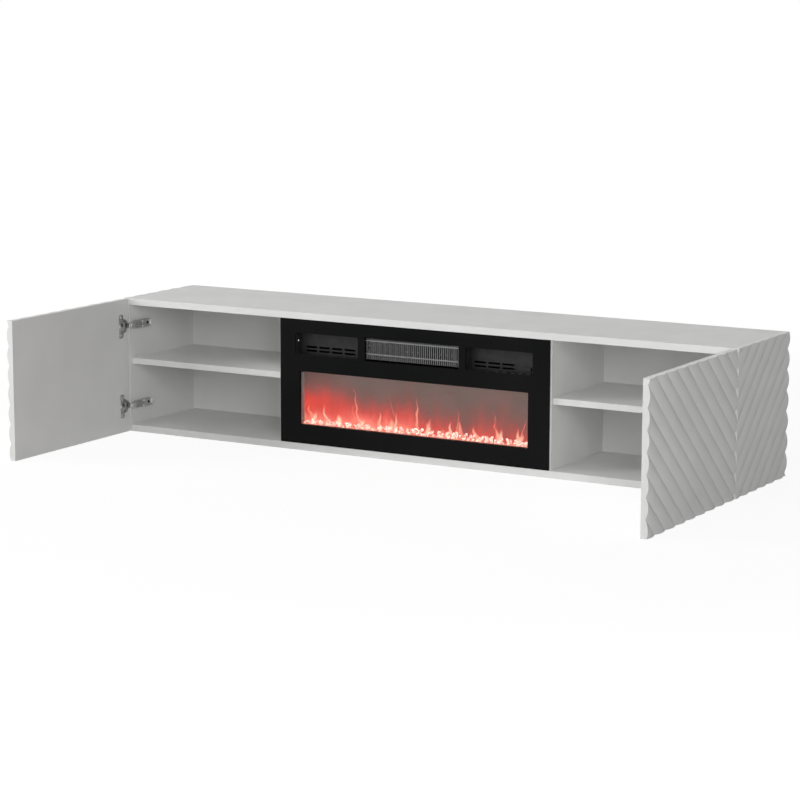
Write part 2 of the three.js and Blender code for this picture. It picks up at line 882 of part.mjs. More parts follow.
function emberBed() {
  const x = grown(window_x, -fit_gap);
  const base = window_bottom + fit_gap;
  const count = 2 * Math.round(length(x) / ember_width / 2);
  const rise = ember_high - ember_low;
  const crest = loop(count + 1, (index) => {
    const heap = (Math.sin(index * Math.SQRT2) + 1) / 2;
    const tip = index % 2 ? ember_low + rise * heap : ember_low;
    return [x[1] - (length(x) * index) / count, base + tip];
  });
  return extruded("xz", [[x[0], base], [x[1], base], ...crest], [plate_face, window_reveal - fit_gap]);
}

function ledStrip() {
  const strip_half = bracket_x - strip_end_gap;
  const foot = casing_floor + fit_gap;
  const strip_top = foot + strip_height;
  const y = [strip_setback, strip_setback + strip_width];
  const pitch = (2 * strip_half) / diode_count;
  const diodes = loop(diode_count, (index) =>
    block(
      around(-strip_half + (index + 1 / 2) * pitch, diode_size),
      around(middle(y), diode_size),
      [strip_top - weld, strip_top + diode_height],
    ),
  );
  return joined([block([-strip_half, strip_half], y, [foot, strip_top]), ...diodes]);
}

function flameRotor() {
  const reach = bracket_x + bracket_thick - fit_gap;
  const pitch = (2 * (bracket_x - flag_length / 2 - cut_over)) / (flag_count - 1);
  const flags = loop(flag_count, (index) => {
    const flag = new THREE.BoxGeometry(flag_length, 2 * rotor_radius, flag_thick);
    flag.rotateX(index * flag_turn);
    flag.translate((index - (flag_count - 1) / 2) * pitch, rotor_setback, rotor_height);
    return solid(flag);
  });
  return joined([rod("x", rotor_shaft_radius, [-reach, reach], rotor_at), ...flags]);
}

function flameRotorMotor() {
  const start = bracket_x + bracket_thick + fit_gap;
  return rod("x", motor_radius, [start, start + motor_length], rotor_at, fine_sides);
}

// Fan heater behind the grille: element, duct, tangential fan and its motor
const heater_front = plate_face + sheet_thick + heater_setback;
const heater_back = heater_front + heater_depth;
const housing_front = heater_back + fit_gap;
const housing_half = blower_half_length + 2 * housing_wall;
const blower_at = { y: blower_setback, z: blower_height };
const cavity_radius = blower_radius + blower_running_gap;

function heaterElement() {
  const x = grown(grille_x, -heater_end_gap);
  const z = around(middle(grille_z), duct_height + 2 * housing_wall);
  const pitch = (length(x) - 2 * heater_rim) / heater_slot_count;
  const slots = loop(heater_slot_count, (index) =>
    block(
      around(x[0] + heater_rim + (index + 1 / 2) * pitch, pitch * heater_slot_share),
      grown([heater_front, heater_back], cut_over),
      grown(z, -heater_rim),
    ),
  );
  return cutBy(block(x, [heater_front, heater_back], z), slots);
}

function blowerHousing() {
  const back = blower_setback + cavity_radius + housing_wall;
  const bottom = blower_height - cavity_radius - housing_wall;
  const top = blower_height + cavity_radius + housing_wall;
  const inner_x = grown([-housing_half, housing_half], -housing_wall);
  const duct_z = around(middle(grille_z), duct_height);
  const inlet_z = [bottom + 2 * housing_wall, bottom + 2 * housing_wall + inlet_height];
  const feet = [
    [-housing_half, -housing_half + housing_foot_length],
    [housing_half - housing_foot_length, housing_half],
  ].map((x) =>
    block(
      x,
      around(blower_setback, housing_foot_depth),
      [shield_height + sheet_thick + fit_gap, bottom + weld],
    ),
  );
  const body = block([-housing_half, housing_half], [housing_front, back], [bottom, top]);
  return cutBy(joined([body, ...feet]), [
    rod("x", cavity_radius, inner_x, blower_at, fine_sides),
    block(inner_x, [housing_front - cut_over, blower_setback], duct_z),
    block(inner_x, [blower_setback, back + cut_over], inlet_z),
    rod("x", blower_shaft_radius + fit_gap, grown([-housing_half, housing_half], cut_over), blower_at),
  ]);
}

function blowerRotor() {
  const drum = [-blower_half_length, blower_half_length];
  const blade_radius = blower_radius - blower_blade_depth / 2;
  const blades = loop(blower_blade_count, (index) => {
    const blade = new THREE.BoxGeometry(length(drum), blower_blade_depth, blower_blade_thick);
    blade.translate(0, blade_radius, 0);
    blade.rotateX((index * 2 * Math.PI) / blower_blade_count);
    blade.translate(0, blower_setback, blower_height);
    return solid(blade);
  });
  const discs = [
    [drum[0], drum[0] + blower_disc_thick],
    around(0, blower_disc_thick),
    [drum[1] - blower_disc_thick, drum[1]],
  ].map((x) => rod("x", blower_radius, x, blower_at, fine_sides));
  const shaft_x = [-housing_half + fit_gap, housing_half + motor_bore_depth];
  return joined([rod("x", blower_shaft_radius, shaft_x, blower_at), ...discs, ...blades]);
}

function blowerMotor() {
  const start = housing_half + fit_gap;
  const bore_x = [start - cut_over, start + motor_bore_depth];
  const case_x = [start, start + blower_motor_length];
  const bore = rod("x", blower_shaft_radius + fit_gap, bore_x, blower_at);
  return rod("x", blower_motor_radius, case_x, blower_at, fine_sides).subtract(bore);
}

function fireplace() {
  const insert = new THREE.Group();
  insert.position.set(0, -carcass_depth / 2, 0);
  piece(insert, "glass_front", glassFront(), black_glass);
  piece(insert, "flame_window", flameWindow(), clear_glass);
  piece(insert, "firebox_shell", fireboxShell(), black_sheet);
  piece(insert, "firebox_back_cover", backCover(), black_sheet);
  piece(insert, "cord_inlet", cordInlet(), black_plastic);
  piece(insert, "flame_screen", flameScreen(), flame_red);
  piece(insert, "ember_bed", emberBed(), crystal);
  piece(insert, "led_strip", ledStrip(), white_board);
  piece(insert, "flame_rotor", flameRotor(), bright_metal);
  piece(insert, "flame_rotor_motor", flameRotorMotor(), black_sheet);
  piece(insert, "left_vent_tray", leftVentTray(), black_plastic);
  piece(insert, "right_control_tray", rightControlTray(), black_plastic);
  piece(insert, "power_switch", powerSwitch(), black_plastic);
  button_names.forEach((name, index) => piece(insert, name, pushButton(index), black_plastic));
  piece(insert, "heater_grille", heaterGrille(), grey_wire);
  piece(insert, "heater_element", heaterElement(), black_sheet);
  piece(insert, "blower_housing", blowerHousing(), black_sheet);
  piece(insert, "blower_rotor", blowerRotor(), bright_metal);
  piece(insert, "blower_motor", blowerMotor(), black_sheet);
  return insert;
}

const stand = new THREE.Group();
stand.add(boards(), endOfStand("left", 1), endOfStand("right", -1), fireplace());

export default stand;
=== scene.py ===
import json
import math
import random

import bmesh
import bpy
from mathutils import Matrix, Vector, noise

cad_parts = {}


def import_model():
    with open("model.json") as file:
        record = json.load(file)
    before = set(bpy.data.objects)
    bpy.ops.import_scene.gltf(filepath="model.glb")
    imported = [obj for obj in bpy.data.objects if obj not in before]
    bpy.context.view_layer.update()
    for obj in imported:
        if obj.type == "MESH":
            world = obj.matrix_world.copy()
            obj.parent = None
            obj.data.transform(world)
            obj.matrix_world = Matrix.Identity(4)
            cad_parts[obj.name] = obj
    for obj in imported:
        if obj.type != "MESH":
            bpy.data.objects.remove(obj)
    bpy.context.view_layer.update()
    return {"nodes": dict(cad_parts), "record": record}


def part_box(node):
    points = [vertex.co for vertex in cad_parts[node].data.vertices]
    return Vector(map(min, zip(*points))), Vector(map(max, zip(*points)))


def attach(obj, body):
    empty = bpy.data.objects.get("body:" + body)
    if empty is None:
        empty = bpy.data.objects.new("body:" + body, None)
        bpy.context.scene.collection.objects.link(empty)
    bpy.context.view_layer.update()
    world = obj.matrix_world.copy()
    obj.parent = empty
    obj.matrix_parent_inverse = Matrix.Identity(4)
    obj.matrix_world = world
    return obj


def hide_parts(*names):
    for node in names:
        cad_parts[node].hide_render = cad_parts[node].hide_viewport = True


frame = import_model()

mm = 0.001
upward = Vector((0, 0, 1))
nodes = frame["nodes"]
slot_of = {part["node"]: part["material_slot"] for part in frame["record"]["subparts"]}


# Colours are written as they look on a screen, from 0 to 255
def shade(level):
    share = level / 255
    return share / 12.92 if share <= 0.04045 else ((share + 0.055) / 1.055) ** 2.4


def colour(red, green, blue):
    return (shade(red), shade(green), shade(blue), 1)


def grey(level):
    return colour(level, level, level)


# Materials, some of which are lighter or darker where a mesh holds a named value; some of these values
# carry painted shade, painted flame light and painted highlights
# This value marks faces that get painted shade: inside the screw access holes and on hinge links in the
# cup's shade.
painted_shade_value = "hollow"
# This value marks the casing's two inner sides of the window, which get painted flame light.
painted_flame_light_value = "painted_flame_light"
tongue_value = "tongue"
core_value = "core"
# This value sets the stones' painted glow and painted highlights.
painted_glint_value = "glint"


def added(tree, kind):
    return tree.nodes.new("ShaderNode" + kind)


def ranged(tree, value, low, high, start, end):
    """A value between start and end, spread from low to high."""
    node = added(tree, "MapRange")
    for entry, number in zip(node.inputs[1:5], (start, end, low, high)):
        entry.default_value = number
    tree.links.new(value, node.inputs["Value"])
    return node.outputs["Result"]


class Finish:
    """A material with one principled shader, and short calls that add nodes to it."""

    def __init__(self, name, **values):
        self.material = bpy.data.materials.new(name)
        self.material.use_nodes = True
        self.tree = self.material.node_tree
        self.shader = self.tree.nodes["Principled BSDF"]
        self.place = added(self.tree, "TexCoord").outputs["Object"]
        self.relief = None
        for socket, value in values.items():
            self.shader.inputs[socket.replace("_", " ")].default_value = value

    def join(self, output, entry):
        self.tree.links.new(output, entry)

    def noise(self, scale, detail=2, stretch=(1, 1, 1)):
        """Soft noise from 0 to 1, with so many cells to the metre, drawn out along the axes."""
        mapping = added(self.tree, "Mapping")
        mapping.inputs["Scale"].default_value = stretch
        self.join(self.place, mapping.inputs["Vector"])
        cells = added(self.tree, "TexNoise")
        cells.inputs["Scale"].default_value = scale
        cells.inputs["Detail"].default_value = detail
        self.join(mapping.outputs["Vector"], cells.inputs["Vector"])
        return cells.outputs["Fac"]

    def spread(self, value, low, high, start=0.35, end=0.65):
        return ranged(self.tree, value, low, high, start, end)

    def held(self, name):
        """A value that the mesh holds under a name, and 0 where it holds none."""
        node = added(self.tree, "Attribute")
        node.attribute_name = name
        return node.outputs["Fac"]

    def maths(self, operation, first, second):
        node = added(self.tree, "Math")
        node.operation = operation
        self.join(first, node.inputs[0])
        self.join(second, node.inputs[1])
        return node.outputs["Value"]

    def mixed(self, share, first, second):
        """A colour between two, each a colour or another node's output."""
        node = added(self.tree, "Mix")
        node.data_type = "RGBA"
        self.join(share, node.inputs[0])
        for entry, value in ((node.inputs[6], first), (node.inputs[7], second)):
            if isinstance(value, tuple):
                entry.default_value = value
            else:
                self.join(value, entry)
        return node.outputs[2]

    def height(self, axis):
        node = added(self.tree, "SeparateXYZ")
        self.join(self.place, node.inputs["Vector"])
        return node.outputs[axis]

    def paint(self, socket, output):
        self.join(output, self.shader.inputs[socket])

    def rough(self, low, high, scale, detail=2, stretch=(1, 1, 1)):
        self.paint("Roughness", self.spread(self.noise(scale, detail, stretch), low, high))

    def grain(self, depth, scale, detail=2, stretch=(1, 1, 1)):
        """Relief of a depth in millimetres, on top of the relief so far."""
        node = added(self.tree, "Bump")
        node.inputs["Distance"].default_value = depth * mm
        self.join(self.noise(scale, detail, stretch), node.inputs["Height"])
        if self.relief:
            self.join(self.relief, node.inputs["Normal"])
        self.relief = node.outputs["Normal"]
        self.paint("Normal", self.relief)


def cloudy(finish, scale, dark, light):
    """A colour that wanders between two, with so many clouds to the metre."""
    return finish.mixed(finish.spread(finish.noise(scale), 0, 1), dark, light)


def mottled(finish, scale, dark, light):
    finish.paint("Base Color", cloudy(finish, scale, dark, light))


def foil_board():
    """White melamine foil with fine pores."""
    finish = Finish("foil_board", IOR=1.45)
    mottled(finish, 6, colour(224, 224, 223), colour(229, 229, 228))
    finish.rough(0.46, 0.6, 22, 3)
    finish.grain(0.008, 2400, 3)
    finish.grain(0.02, 260)
    return finish


def white_lacquer():
    """Satin lacquer over a milled board, with the faint waviness of sprayed paint."""
    finish = Finish("white_lacquer", IOR=1.45)
    mottled(finish, 5, colour(222, 222, 221), colour(228, 228, 227))
    finish.rough(0.36, 0.5, 18, 3)
    finish.grain(0.014, 520)
    finish.grain(0.03, 90)
    return finish


def plated_steel(name, low, high):
    """Plated steel with fine drawing marks and slight clouding, painted darker as painted shade where the
    mesh marks it.
    """
    finish = Finish(name, Metallic=1.0)
    plate = cloudy(finish, 120, grey(low), grey(high))
    # Painted shade: grey 70 where the mesh holds the painted shade value.
    finish.paint("Base Color", finish.mixed(finish.held(painted_shade_value), plate, grey(70)))
    finish.rough(0.24, 0.4, 300, 3, (1, 8, 1))
    finish.grain(0.006, 2200, 2, (1, 12, 1))
    return finish


def dark_glass():
    """Black glass with the faint haze that hands and cloths leave."""
    finish = Finish("dark_glass", IOR=1.16)
    mottled(finish, 3, colour(8, 9, 9), colour(17, 17, 18))
    finish.rough(0.03, 0.11, 11, 4)
    finish.grain(0.01, 30, 1)
    return finish


def clear_pane():
    """Thin clear glass, with so little gloss that the flames show through it unchanged."""
    finish = Finish("clear_pane", Transmission_Weight=1.0, IOR=1.08, Roughness=0.0)
    mottled(finish, 14, grey(248), grey(254))
    return finish


def powder_coat():
    """Black powder coat with its pebbled skin, with painted flame light, paler, on the window's two inner
    sides.
    """
    finish = Finish("powder_coat", IOR=1.45)
    coat = cloudy(finish, 40, grey(17), grey(24))
    # Painted flame light: grey 132 where the mesh holds the painted flame light value.
    finish.paint("Base Color", finish.mixed(finish.held(painted_flame_light_value), coat, grey(132)))
    finish.rough(0.48, 0.62, 60, 3)
    finish.grain(0.04, 900, 3)
    return finish


def grained_plastic():
    """Moulded black plastic with a fine spark-eroded grain."""
    finish = Finish("grained_plastic", IOR=1.4)
    mottled(finish, 30, grey(31), grey(39))
    finish.rough(0.42, 0.58, 80, 3)
    finish.grain(0.03, 1500, 4)
    return finish


def pale_wire():
    """Dull grey plated wire."""
    finish = Finish("pale_wire", Metallic=0.35)
    mottled(finish, 200, grey(138), grey(152))
    finish.rough(0.34, 0.48, 400, 3)
    finish.grain(0.01, 1800)
    return finish


def ice_crystal():
    """Cut stones whose light is painted in: an emission paints each facet white, as lit from below, or the
    red of the flames as a painted reflection.
    """
    finish = Finish("ice_crystal", IOR=1.5, Emission_Strength=0.5)
    stir = finish.spread(finish.noise(260, 3), -0.2, 0.2)
    # Painted light: emission and base colour go from flame red, a painted reflection, to white, a painted
    # highlight, by this value and some noise.
    glow = finish.maths("ADD", finish.held(painted_glint_value), stir)
    warm = finish.mixed(finish.spread(glow, 0, 1, 0, 0.6), colour(196, 74, 60), colour(250, 180, 146))
    white_share = finish.spread(glow, 0, 1, 0.55, 0.95)
    finish.paint("Emission Color", finish.mixed(white_share, warm, colour(255, 252, 240)))
    finish.paint("Base Color", finish.mixed(glow, colour(190, 120, 104), colour(236, 228, 216)))
    finish.rough(0.05, 0.16, 240)
    finish.grain(0.04, 500, 3)
    return finish


def bright_works():
    """Polished reflector sheet."""
    finish = Finish("bright_works", Metallic=1.0)
    mottled(finish, 60, grey(150), grey(172))
    finish.rough(0.14, 0.28, 160, 3, (6, 1, 1))
    finish.grain(0.01, 900, 2, (8, 1, 1))
    return finish


# The flame picture: a haze that reddens downwards, and tongues held in the mesh as two values.
# The stops go from the window's foot, 0, to its top, 1.
window_low_z = 69.5 * mm
window_high_z = 210.5 * mm
window_left_x = -336.5 * mm
window_right_x = 336.5 * mm
# The upper grey-mauve stops stand for the screen's own grey and also a painted reflection of the room on
# the glass.
haze_stops = [
    (0.0, colour(255, 132, 114)),
    (0.1, colour(242, 104, 92)),
    (0.24, colour(216, 84, 74)),
    (0.42, colour(176, 80, 73)),
    (0.6, colour(136, 84, 78)),
    (0.8, colour(120, 90, 84)),
    (1.0, colour(112, 92, 87)),
]


def flame_picture():
    """The lit screen: the haze by height, then the tongues and their cores over it."""
    finish = Finish("flame_picture", Base_Color=grey(16), Roughness=0.6, IOR=1.3, Emission_Strength=1.0)
    billow = finish.spread(finish.noise(9, 2, (1, 1, 0.45)), -0.03, 0.03, 0.3, 0.7)
    wisp = finish.spread(finish.noise(34, 4, (1, 1, 0.4)), -0.012, 0.012, 0.3, 0.7)
    slope = finish.spread(finish.height("X"), -0.012, 0.016, window_left_x, window_right_x)
    drift = finish.maths("ADD", billow, finish.maths("ADD", wisp, slope))
    level = finish.maths("ADD", finish.height("Z"), drift)
    rise = finish.spread(level, 0, 1, window_low_z, window_high_z)
    ramp = added(finish.tree, "ValToRGB")
    finish.join(rise, ramp.inputs["Fac"])
    bands = ramp.color_ramp.elements
    bands[0].color = haze_stops[0][1]
    bands[1].color = haze_stops[-1][1]
    for place, tone in haze_stops[1:-1]:
        bands.new(place).color = tone
    red = finish.mixed(deep_red_share(finish), ramp.outputs["Color"], colour(218, 50, 36))
    haze = finish.mixed(shade_share(finish), red, colour(66, 44, 38))
    flame = finish.mixed(finish.held(tongue_value), haze, colour(255, 118, 102))
    lit = finish.mixed(finish.held(core_value), flame, colour(255, 216, 184))
    finish.paint("Emission Color", lit)
    finish.rough(0.5, 0.7, 60)
    return finish


def deep_red_share(finish):
    """A patch of deeper red near the left end, at a third of the height."""
    fade_x = finish.spread(finish.height("X"), 0.85, 0, window_left_x, window_left_x + 170 * mm)
    low = finish.spread(finish.height("Z"), 0, 1, window_low_z + 6 * mm, window_low_z + 34 * mm)
    high = finish.spread(finish.height("Z"), 1, 0, window_low_z + 50 * mm, window_low_z + 92 * mm)
    return finish.maths("MULTIPLY", fade_x, finish.maths("MULTIPLY", low, high))


def shade_share(finish):
    """The dark upper left corner, which the lamps behind the screen reach least."""
    fade_x = finish.spread(finish.height("X"), 0.55, 0, window_left_x, window_left_x + 120 * mm)
    high = finish.spread(finish.height("Z"), 0, 1, window_low_z + 70 * mm, window_high_z)
    return finish.maths("MULTIPLY", fade_x, high)


def pilot_lens():
    """The small lens of the pilot lamp, which is lit."""
    finish = Finish("pilot_lens", Base_Color=grey(236), IOR=1.5, Emission_Strength=0.5)
    finish.paint("Emission Color", finish.mixed(finish.noise(900), grey(230), grey(255)))
    finish.rough(0.08, 0.2, 700)
    return finish


finishes = {
    "white_board": foil_board(),
    "white_flutes": white_lacquer(),
    "hinge_steel": plated_steel("hinge_steel_finish", 196, 214),
    "stud_metal": plated_steel("stud_metal_finish", 228, 242),
    "black_glass": dark_glass(),
    "clear_glass": clear_pane(),
    "black_sheet": powder_coat(),
    "black_plastic": grained_plastic(),
    "grille_wire": pale_wire(),
    "flame_picture": flame_picture(),
    "crystals": ice_crystal(),
    "works_metal": bright_works(),
    "pilot_lens": pilot_lens(),
}


# Mesh tools
def placed(name, data):
    """An object that holds a mesh, a lamp or a camera."""
    made = bpy.data.objects.new(name, data)
    bpy.context.scene.collection.objects.link(made)
    return made


def meshed(name, bm):
    mesh = bpy.data.meshes.new(name)
    bm.to_mesh(mesh)
    bm.free()
    return placed(name, mesh)


def finished(name, bm, body, finish, *stands_for, crease=34):
    """Makes a piece of a mesh. It rides on a body and stands for CAD nodes, if any are named."""
    bmesh.ops.recalc_face_normals(bm, faces=bm.faces)
    limit = math.radians(crease)
    for face in bm.faces:
        face.smooth = True
    for edge in bm.edges:
        if len(edge.link_faces) == 2:
            edge.smooth = edge.calc_face_angle(0) < limit
    made = meshed(name, bm)
    made.data.materials.append(finishes[finish].material)
    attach(made, body)
    if stands_for:
        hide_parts(*stands_for)
    return made


def marked(made, value_name, chosen, level=1.0):
    """Gives a value to the faces whose middles pass a test."""
    values = made.data.attributes.new(value_name, "FLOAT", "FACE")
    for face, value in zip(made.data.polygons, values.data):
        value.value = level if chosen(face) else 0
    return made


def body_holding(node):
    bodies = frame["record"]["behaviour"]["bodies"]
    return next(body for body, members in bodies.items() if node in members)


def cleaned(node):
    """A copy of a CAD node's mesh with its corners joined and its flat faces whole."""
    source = nodes[node].data
    bm = bmesh.new()
    corners = [bm.verts.new(vertex.co) for vertex in source.vertices]
    for polygon in source.polygons:
        bm.faces.new([corners[index] for index in polygon.vertices])
    bmesh.ops.remove_doubles(bm, verts=bm.verts, dist=0.002 * mm)
    bmesh.ops.dissolve_limit(bm, angle_limit=math.radians(0.4), verts=bm.verts, edges=bm.edges)
    return bm


def eased(made, width, segments=2, angle=38):
    """Rounds the edges sharper than an angle in degrees, and keeps large faces flat in their shading."""
    bevel = made.modifiers.new("eased_edges", "BEVEL")
    bevel.width = width
    bevel.segments = segments
    bevel.limit_method = "ANGLE"
    bevel.angle_limit = math.radians(angle)
    shading = made.modifiers.new("flat_shading", "WEIGHTED_NORMAL")
    shading.mode = "FACE_AREA"
    shading.keep_sharp = True
    return made


def dressed(node, width, segments=2, angle=38, crease=34):
    """A CAD node's own shape with rounded edges."""
    body = body_holding(node)
    made = finished(node + "_dressed", cleaned(node), body, slot_of[node], node, crease=crease)
    return eased(made, width, segments, angle)


def edges_at(corners):
    """The edges that meet at some corners, each once and in a steady order."""
    return list(dict.fromkeys(edge for corner in corners for edge in corner.link_edges))


def open_edges(bm):
    return [edge for edge in bm.edges if len(edge.link_faces) == 1]


def closed_behind(bm, axis, level):
    """Draws a sheet's rim to a level along an axis, and closes it there."""
    for part in bmesh.ops.extrude_edge_only(bm, edges=open_edges(bm))["geom"]:
        if isinstance(part, bmesh.types.BMVert):
            part.co[axis] = level
    bmesh.ops.holes_fill(bm, edges=open_edges(bm), sides=0)


def block(bm, low, high, ease):
    """A box with rounded edges."""
    size = high - low
    place = Matrix.Translation((low + high) / 2) @ Matrix.Diagonal((*size, 1))
    edges = edges_at(bmesh.ops.create_cube(bm, size=1, matrix=place)["verts"])
    bmesh.ops.bevel(
        bm, geom=edges, offset=ease, segments=2, profile=0.5, affect="EDGES", clamp_overlap=True
    )


def square_to(axis):
    """Two directions that are square to an axis of length 1 and to each other."""
    across = axis.orthogonal().normalized()
    return across, axis.cross(across)


def ring_of(bm, centre, across, up, radius, sides):
    points = []
    for index in range(sides):
        angle = 2 * math.pi * index / sides
        points.append(bm.verts.new(centre + radius * (math.cos(angle) * across + math.sin(angle) * up)))
    return points


def bridge(bm, near, far):
    """Faces between two rings, where a ring of one point is a tip."""
    count = max(len(near), len(far))
    for index in range(count):
        after = (index + 1) % count
        corners = [near[index % len(near)], near[after % len(near)]]
        corners += [far[after % len(far)], far[index % len(far)]]
        corners = list(dict.fromkeys(corners))
        if len(corners) > 2:
            bm.faces.new(corners)


def stacked(bm, rings):
    """A closed body over a row of rings."""
    bm.faces.new(rings[0])
    for near, far in zip(rings, rings[1:]):
        bridge(bm, near, far)
    bm.faces.new(rings[-1])


def turned(bm, profile, centre, axis, sides):
    """Turns a profile of (radius, distance along the axis) pairs about an axis through a centre."""
    across, up = square_to(axis)
    rings = []
    for radius, along in profile:
        at = centre + along * axis
        rings.append(ring_of(bm, at, across, up, radius, sides) if radius > 0 else [bm.verts.new(at)])
    for near, far in zip(rings, rings[1:]):
        bridge(bm, near, far)
    return rings


def rod(bm, centre, axis, radius, length, sides):
    """A plain round rod. The centre lies in its near end."""
    turned(bm, [(0, 0), (radius, 0), (radius, length), (0, length)], centre, axis, sides)


def rounded(radius, far, ease, steps=3):
    """The profile of a disc's far edge, rounded."""
    turns = [math.pi / 2 * step / steps for step in range(steps + 1)]
    shifts = [(ease * math.cos(turn), ease * math.sin(turn)) for turn in turns]
    return [(radius - ease + out, far - ease + along) for out, along in shifts]


def screw_head(bm, centre, axis, radius, height):
    """A pan head with a cross recess. The centre lies in the face under the head."""
    across, up = square_to(axis)
    flat = 0.72 * radius
    shoulder = 0.45 * height
    profile = [(0, 0), (radius, 0), (radius, shoulder), (0.9 * radius, 0.8 * height), (flat, height)]
    rim = turned(bm, profile, centre, axis, 24)[-1]
    arm = 0.52 * radius
    half = 0.13 * radius
    cross = [(arm, half), (half, half), (half, arm), (-half, arm), (-half, half), (-arm, half)]
    cross += [(-a, -b) for a, b in cross]
    top = [bm.verts.new(centre + height * axis + a * across + b * up) for a, b in cross]
    foot = [bm.verts.new(corner.co - 0.7 * height * axis) for corner in top]
    edges = []
    for loop in (rim, top):
        for index, corner in enumerate(loop):
            following = loop[(index + 1) % len(loop)]
            edges.append(bm.edges.get((corner, following)) or bm.edges.new((corner, following)))
    bmesh.ops.triangle_fill(bm, use_beauty=True, use_dissolve=False, edges=edges)
    bridge(bm, top, foot)
    bm.faces.new(foot)


def dome(radius, foot, rise, steps):
    """The profile of a dome, from its rim to its tip."""
    turns = [math.pi / 2 * step / steps for step in range(steps)]
    rim = [(radius * math.cos(turn), foot + rise * math.sin(turn)) for turn in turns]
    return [*rim, (0, foot + rise)]


def cut_away(made, *cutters):
    """Cuts other objects out of a piece and removes them."""
    for cutter in cutters:
        cut = made.modifiers.new("cut", "BOOLEAN")
        cut.operation = "DIFFERENCE"
        cut.solver = "EXACT"
        cut.object = cutter
    bpy.context.view_layer.update()
    result = made.evaluated_get(bpy.context.evaluated_depsgraph_get())
    made.data = bpy.data.meshes.new_from_object(result)
    made.modifiers.clear()
    for cutter in cutters:
        bpy.data.objects.remove(cutter)


def bore(centre, axis, radius, depth, sides=28):
    """A round cutter for cut_away."""
    bm = bmesh.new()
    rod(bm, centre, axis, radius, depth, sides)
    bmesh.ops.recalc_face_normals(bm, faces=bm.faces)
    return meshed("cutter", bm)


# Fluted boards: round lobes with sharp valleys between them, slanting up and away from the corner
flute_depth = 6 * mm
flute_steps = 24
rim_ease = 0.7 * mm
flutes_on = {
    # pitch up the board, height of the first valley at the corner, rise for each step from the corner
    "door": (50.9 * mm, 8.5 * mm, 0.885),
    "side_panel": (52.4 * mm, 18 * mm, 0.94),
}


def flute_hollow(phase):
    """How deep the surface lies: nothing on a lobe's crest, and all of it in a valley."""
    return flute_depth * (2 * (phase % 1) - 1) ** 2


def clipped(outline, level_of, limit, below):
    """The part of an outline on one side of a level."""
    kept = []
    sign = 1 if below else -1
    for here, there in zip(outline, outline[1:] + outline[:1]):
        a = sign * (level_of(here) - limit)
        b = sign * (level_of(there) - limit)
        if a <= 0:
            kept.append(here)
        if a * b < 0:
            kept.append(here.lerp(there, a / (a - b)))
    return kept


def fluted_board(side, board, corner_y, bores=()):
    """A board whose outer face is cut into strips along the flutes, each at its own depth."""
    node = f"{side}_{board}"
    pitch, start, rise = flutes_on[board]
    low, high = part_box(node)
    outer, inner = (low.x, high.x) if low.x < 0 else (high.x, low.x)
    inward = 1 if inner > outer else -1

    def level_of(point):
        """How far a point (y, z) of the face lies above the first valley."""
        return point.y - rise * abs(point.x - corner_y) - start

    corners = [(low.y, low.z), (high.y, low.z), (high.y, high.z), (low.y, high.z)]
    outline = [Vector(corner) for corner in corners]
    levels = [level_of(point) for point in outline]
    step = pitch / flute_steps
    first = math.floor(min(levels) / step)
    last = math.ceil(max(levels) / step)
    bm = bmesh.new()
    for index in range(first, last):
        band = clipped(outline, level_of, (index + 1) * step, True)
        band = clipped(band, level_of, index * step, False) if len(band) > 2 else []
        if len(band) > 2:
            points = [(point, flute_hollow(level_of(point) / pitch)) for point in band]
            bm.faces.new([bm.verts.new((outer + inward * deep, p.x, p.y)) for p, deep in points])
    bmesh.ops.remove_doubles(bm, verts=bm.verts, dist=0.001 * mm)
    closed_behind(bm, 0, inner)
    made = finished(node + "_fluted", bm, body_holding(node), "white_flutes", node, crease=26)
    if bores:
        cut_away(made, *bores)
    return eased(made, rim_ease, 2, 60)


# The stand's ends, in their own measure: u from the outer face inwards, v from the front face back
carcass_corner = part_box("left_side_panel")[0]
half_width = abs(carcass_corner.x)
front_y = carcass_corner.y
cup_radius = 17.2 * mm
cup_v = -27.5 * mm
cup_floor_u = 7 * mm
cup_play = 0.3 * mm
door_face_u = 18 * mm
past_face = 20 * mm


def at_end(side, u, v, z):
    """A place in the measure of one end."""
    x = -half_width + u if side == "left" else half_width - u
    return Vector((x, front_y + v, z))


def inboard(side):
    return Vector((1, 0, 0)) if side == "left" else Vector((-1, 0, 0))


def hinge_height(node):
    low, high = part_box(node)
    return (low.z + high.z) / 2


def cup_bore(side, level):
    """The cutter for the bore in a door that takes a hinge cup."""
    z = hinge_height(f"{side}_{level}_hinge_cup")
    floor = at_end(side, cup_floor_u - cup_play, cup_v, z)
    return bore(floor, inboard(side), cup_radius + cup_play, past_face, 48)


def fluted_boards(side):
    bores = [cup_bore(side, level) for level in ("upper", "lower")]
    hinge_edge_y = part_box(side + "_door")[1].y
    fluted_board(side, "side_panel", front_y)
    fluted_board(side, "door", hinge_edge_y, bores)


# Concealed hinges
flange_from_u = 18.3 * mm
flange_to_u = 19.5 * mm
ring_radius = 18.7 * mm
cup_wall = 0.8 * mm
mouth_cut_radius = 17.6 * mm
lug_v = (-47 * mm, -42 * mm)
lug_half = 4 * mm
wing_v = -40 * mm
wing_half_width = 10 * mm
wing_half_length = 32.5 * mm
wing_screw_from_middle = 24 * mm
wing_screw_radius = 3.9 * mm
plate_top_u = 29.2 * mm
arm_top_u = 31 * mm
arm_sheet = 1.5 * mm
arm_bend = 1.8 * mm
nose_half = 7.3 * mm
rear_half = 10 * mm
nose_from_v = -11.8 * mm
nose_cover_to_v = 7.5 * mm
waist_from_v = 7 * mm
waist_to_v = 14 * mm
arm_end_v = 80 * mm
nose_under_u = 21.7 * mm
rear_under_u = 21.1 * mm
arm_pin = (25 * mm, -8.52 * mm)
arm_pin_radius = 1.5 * mm
cup_pin_v = -15.6 * mm
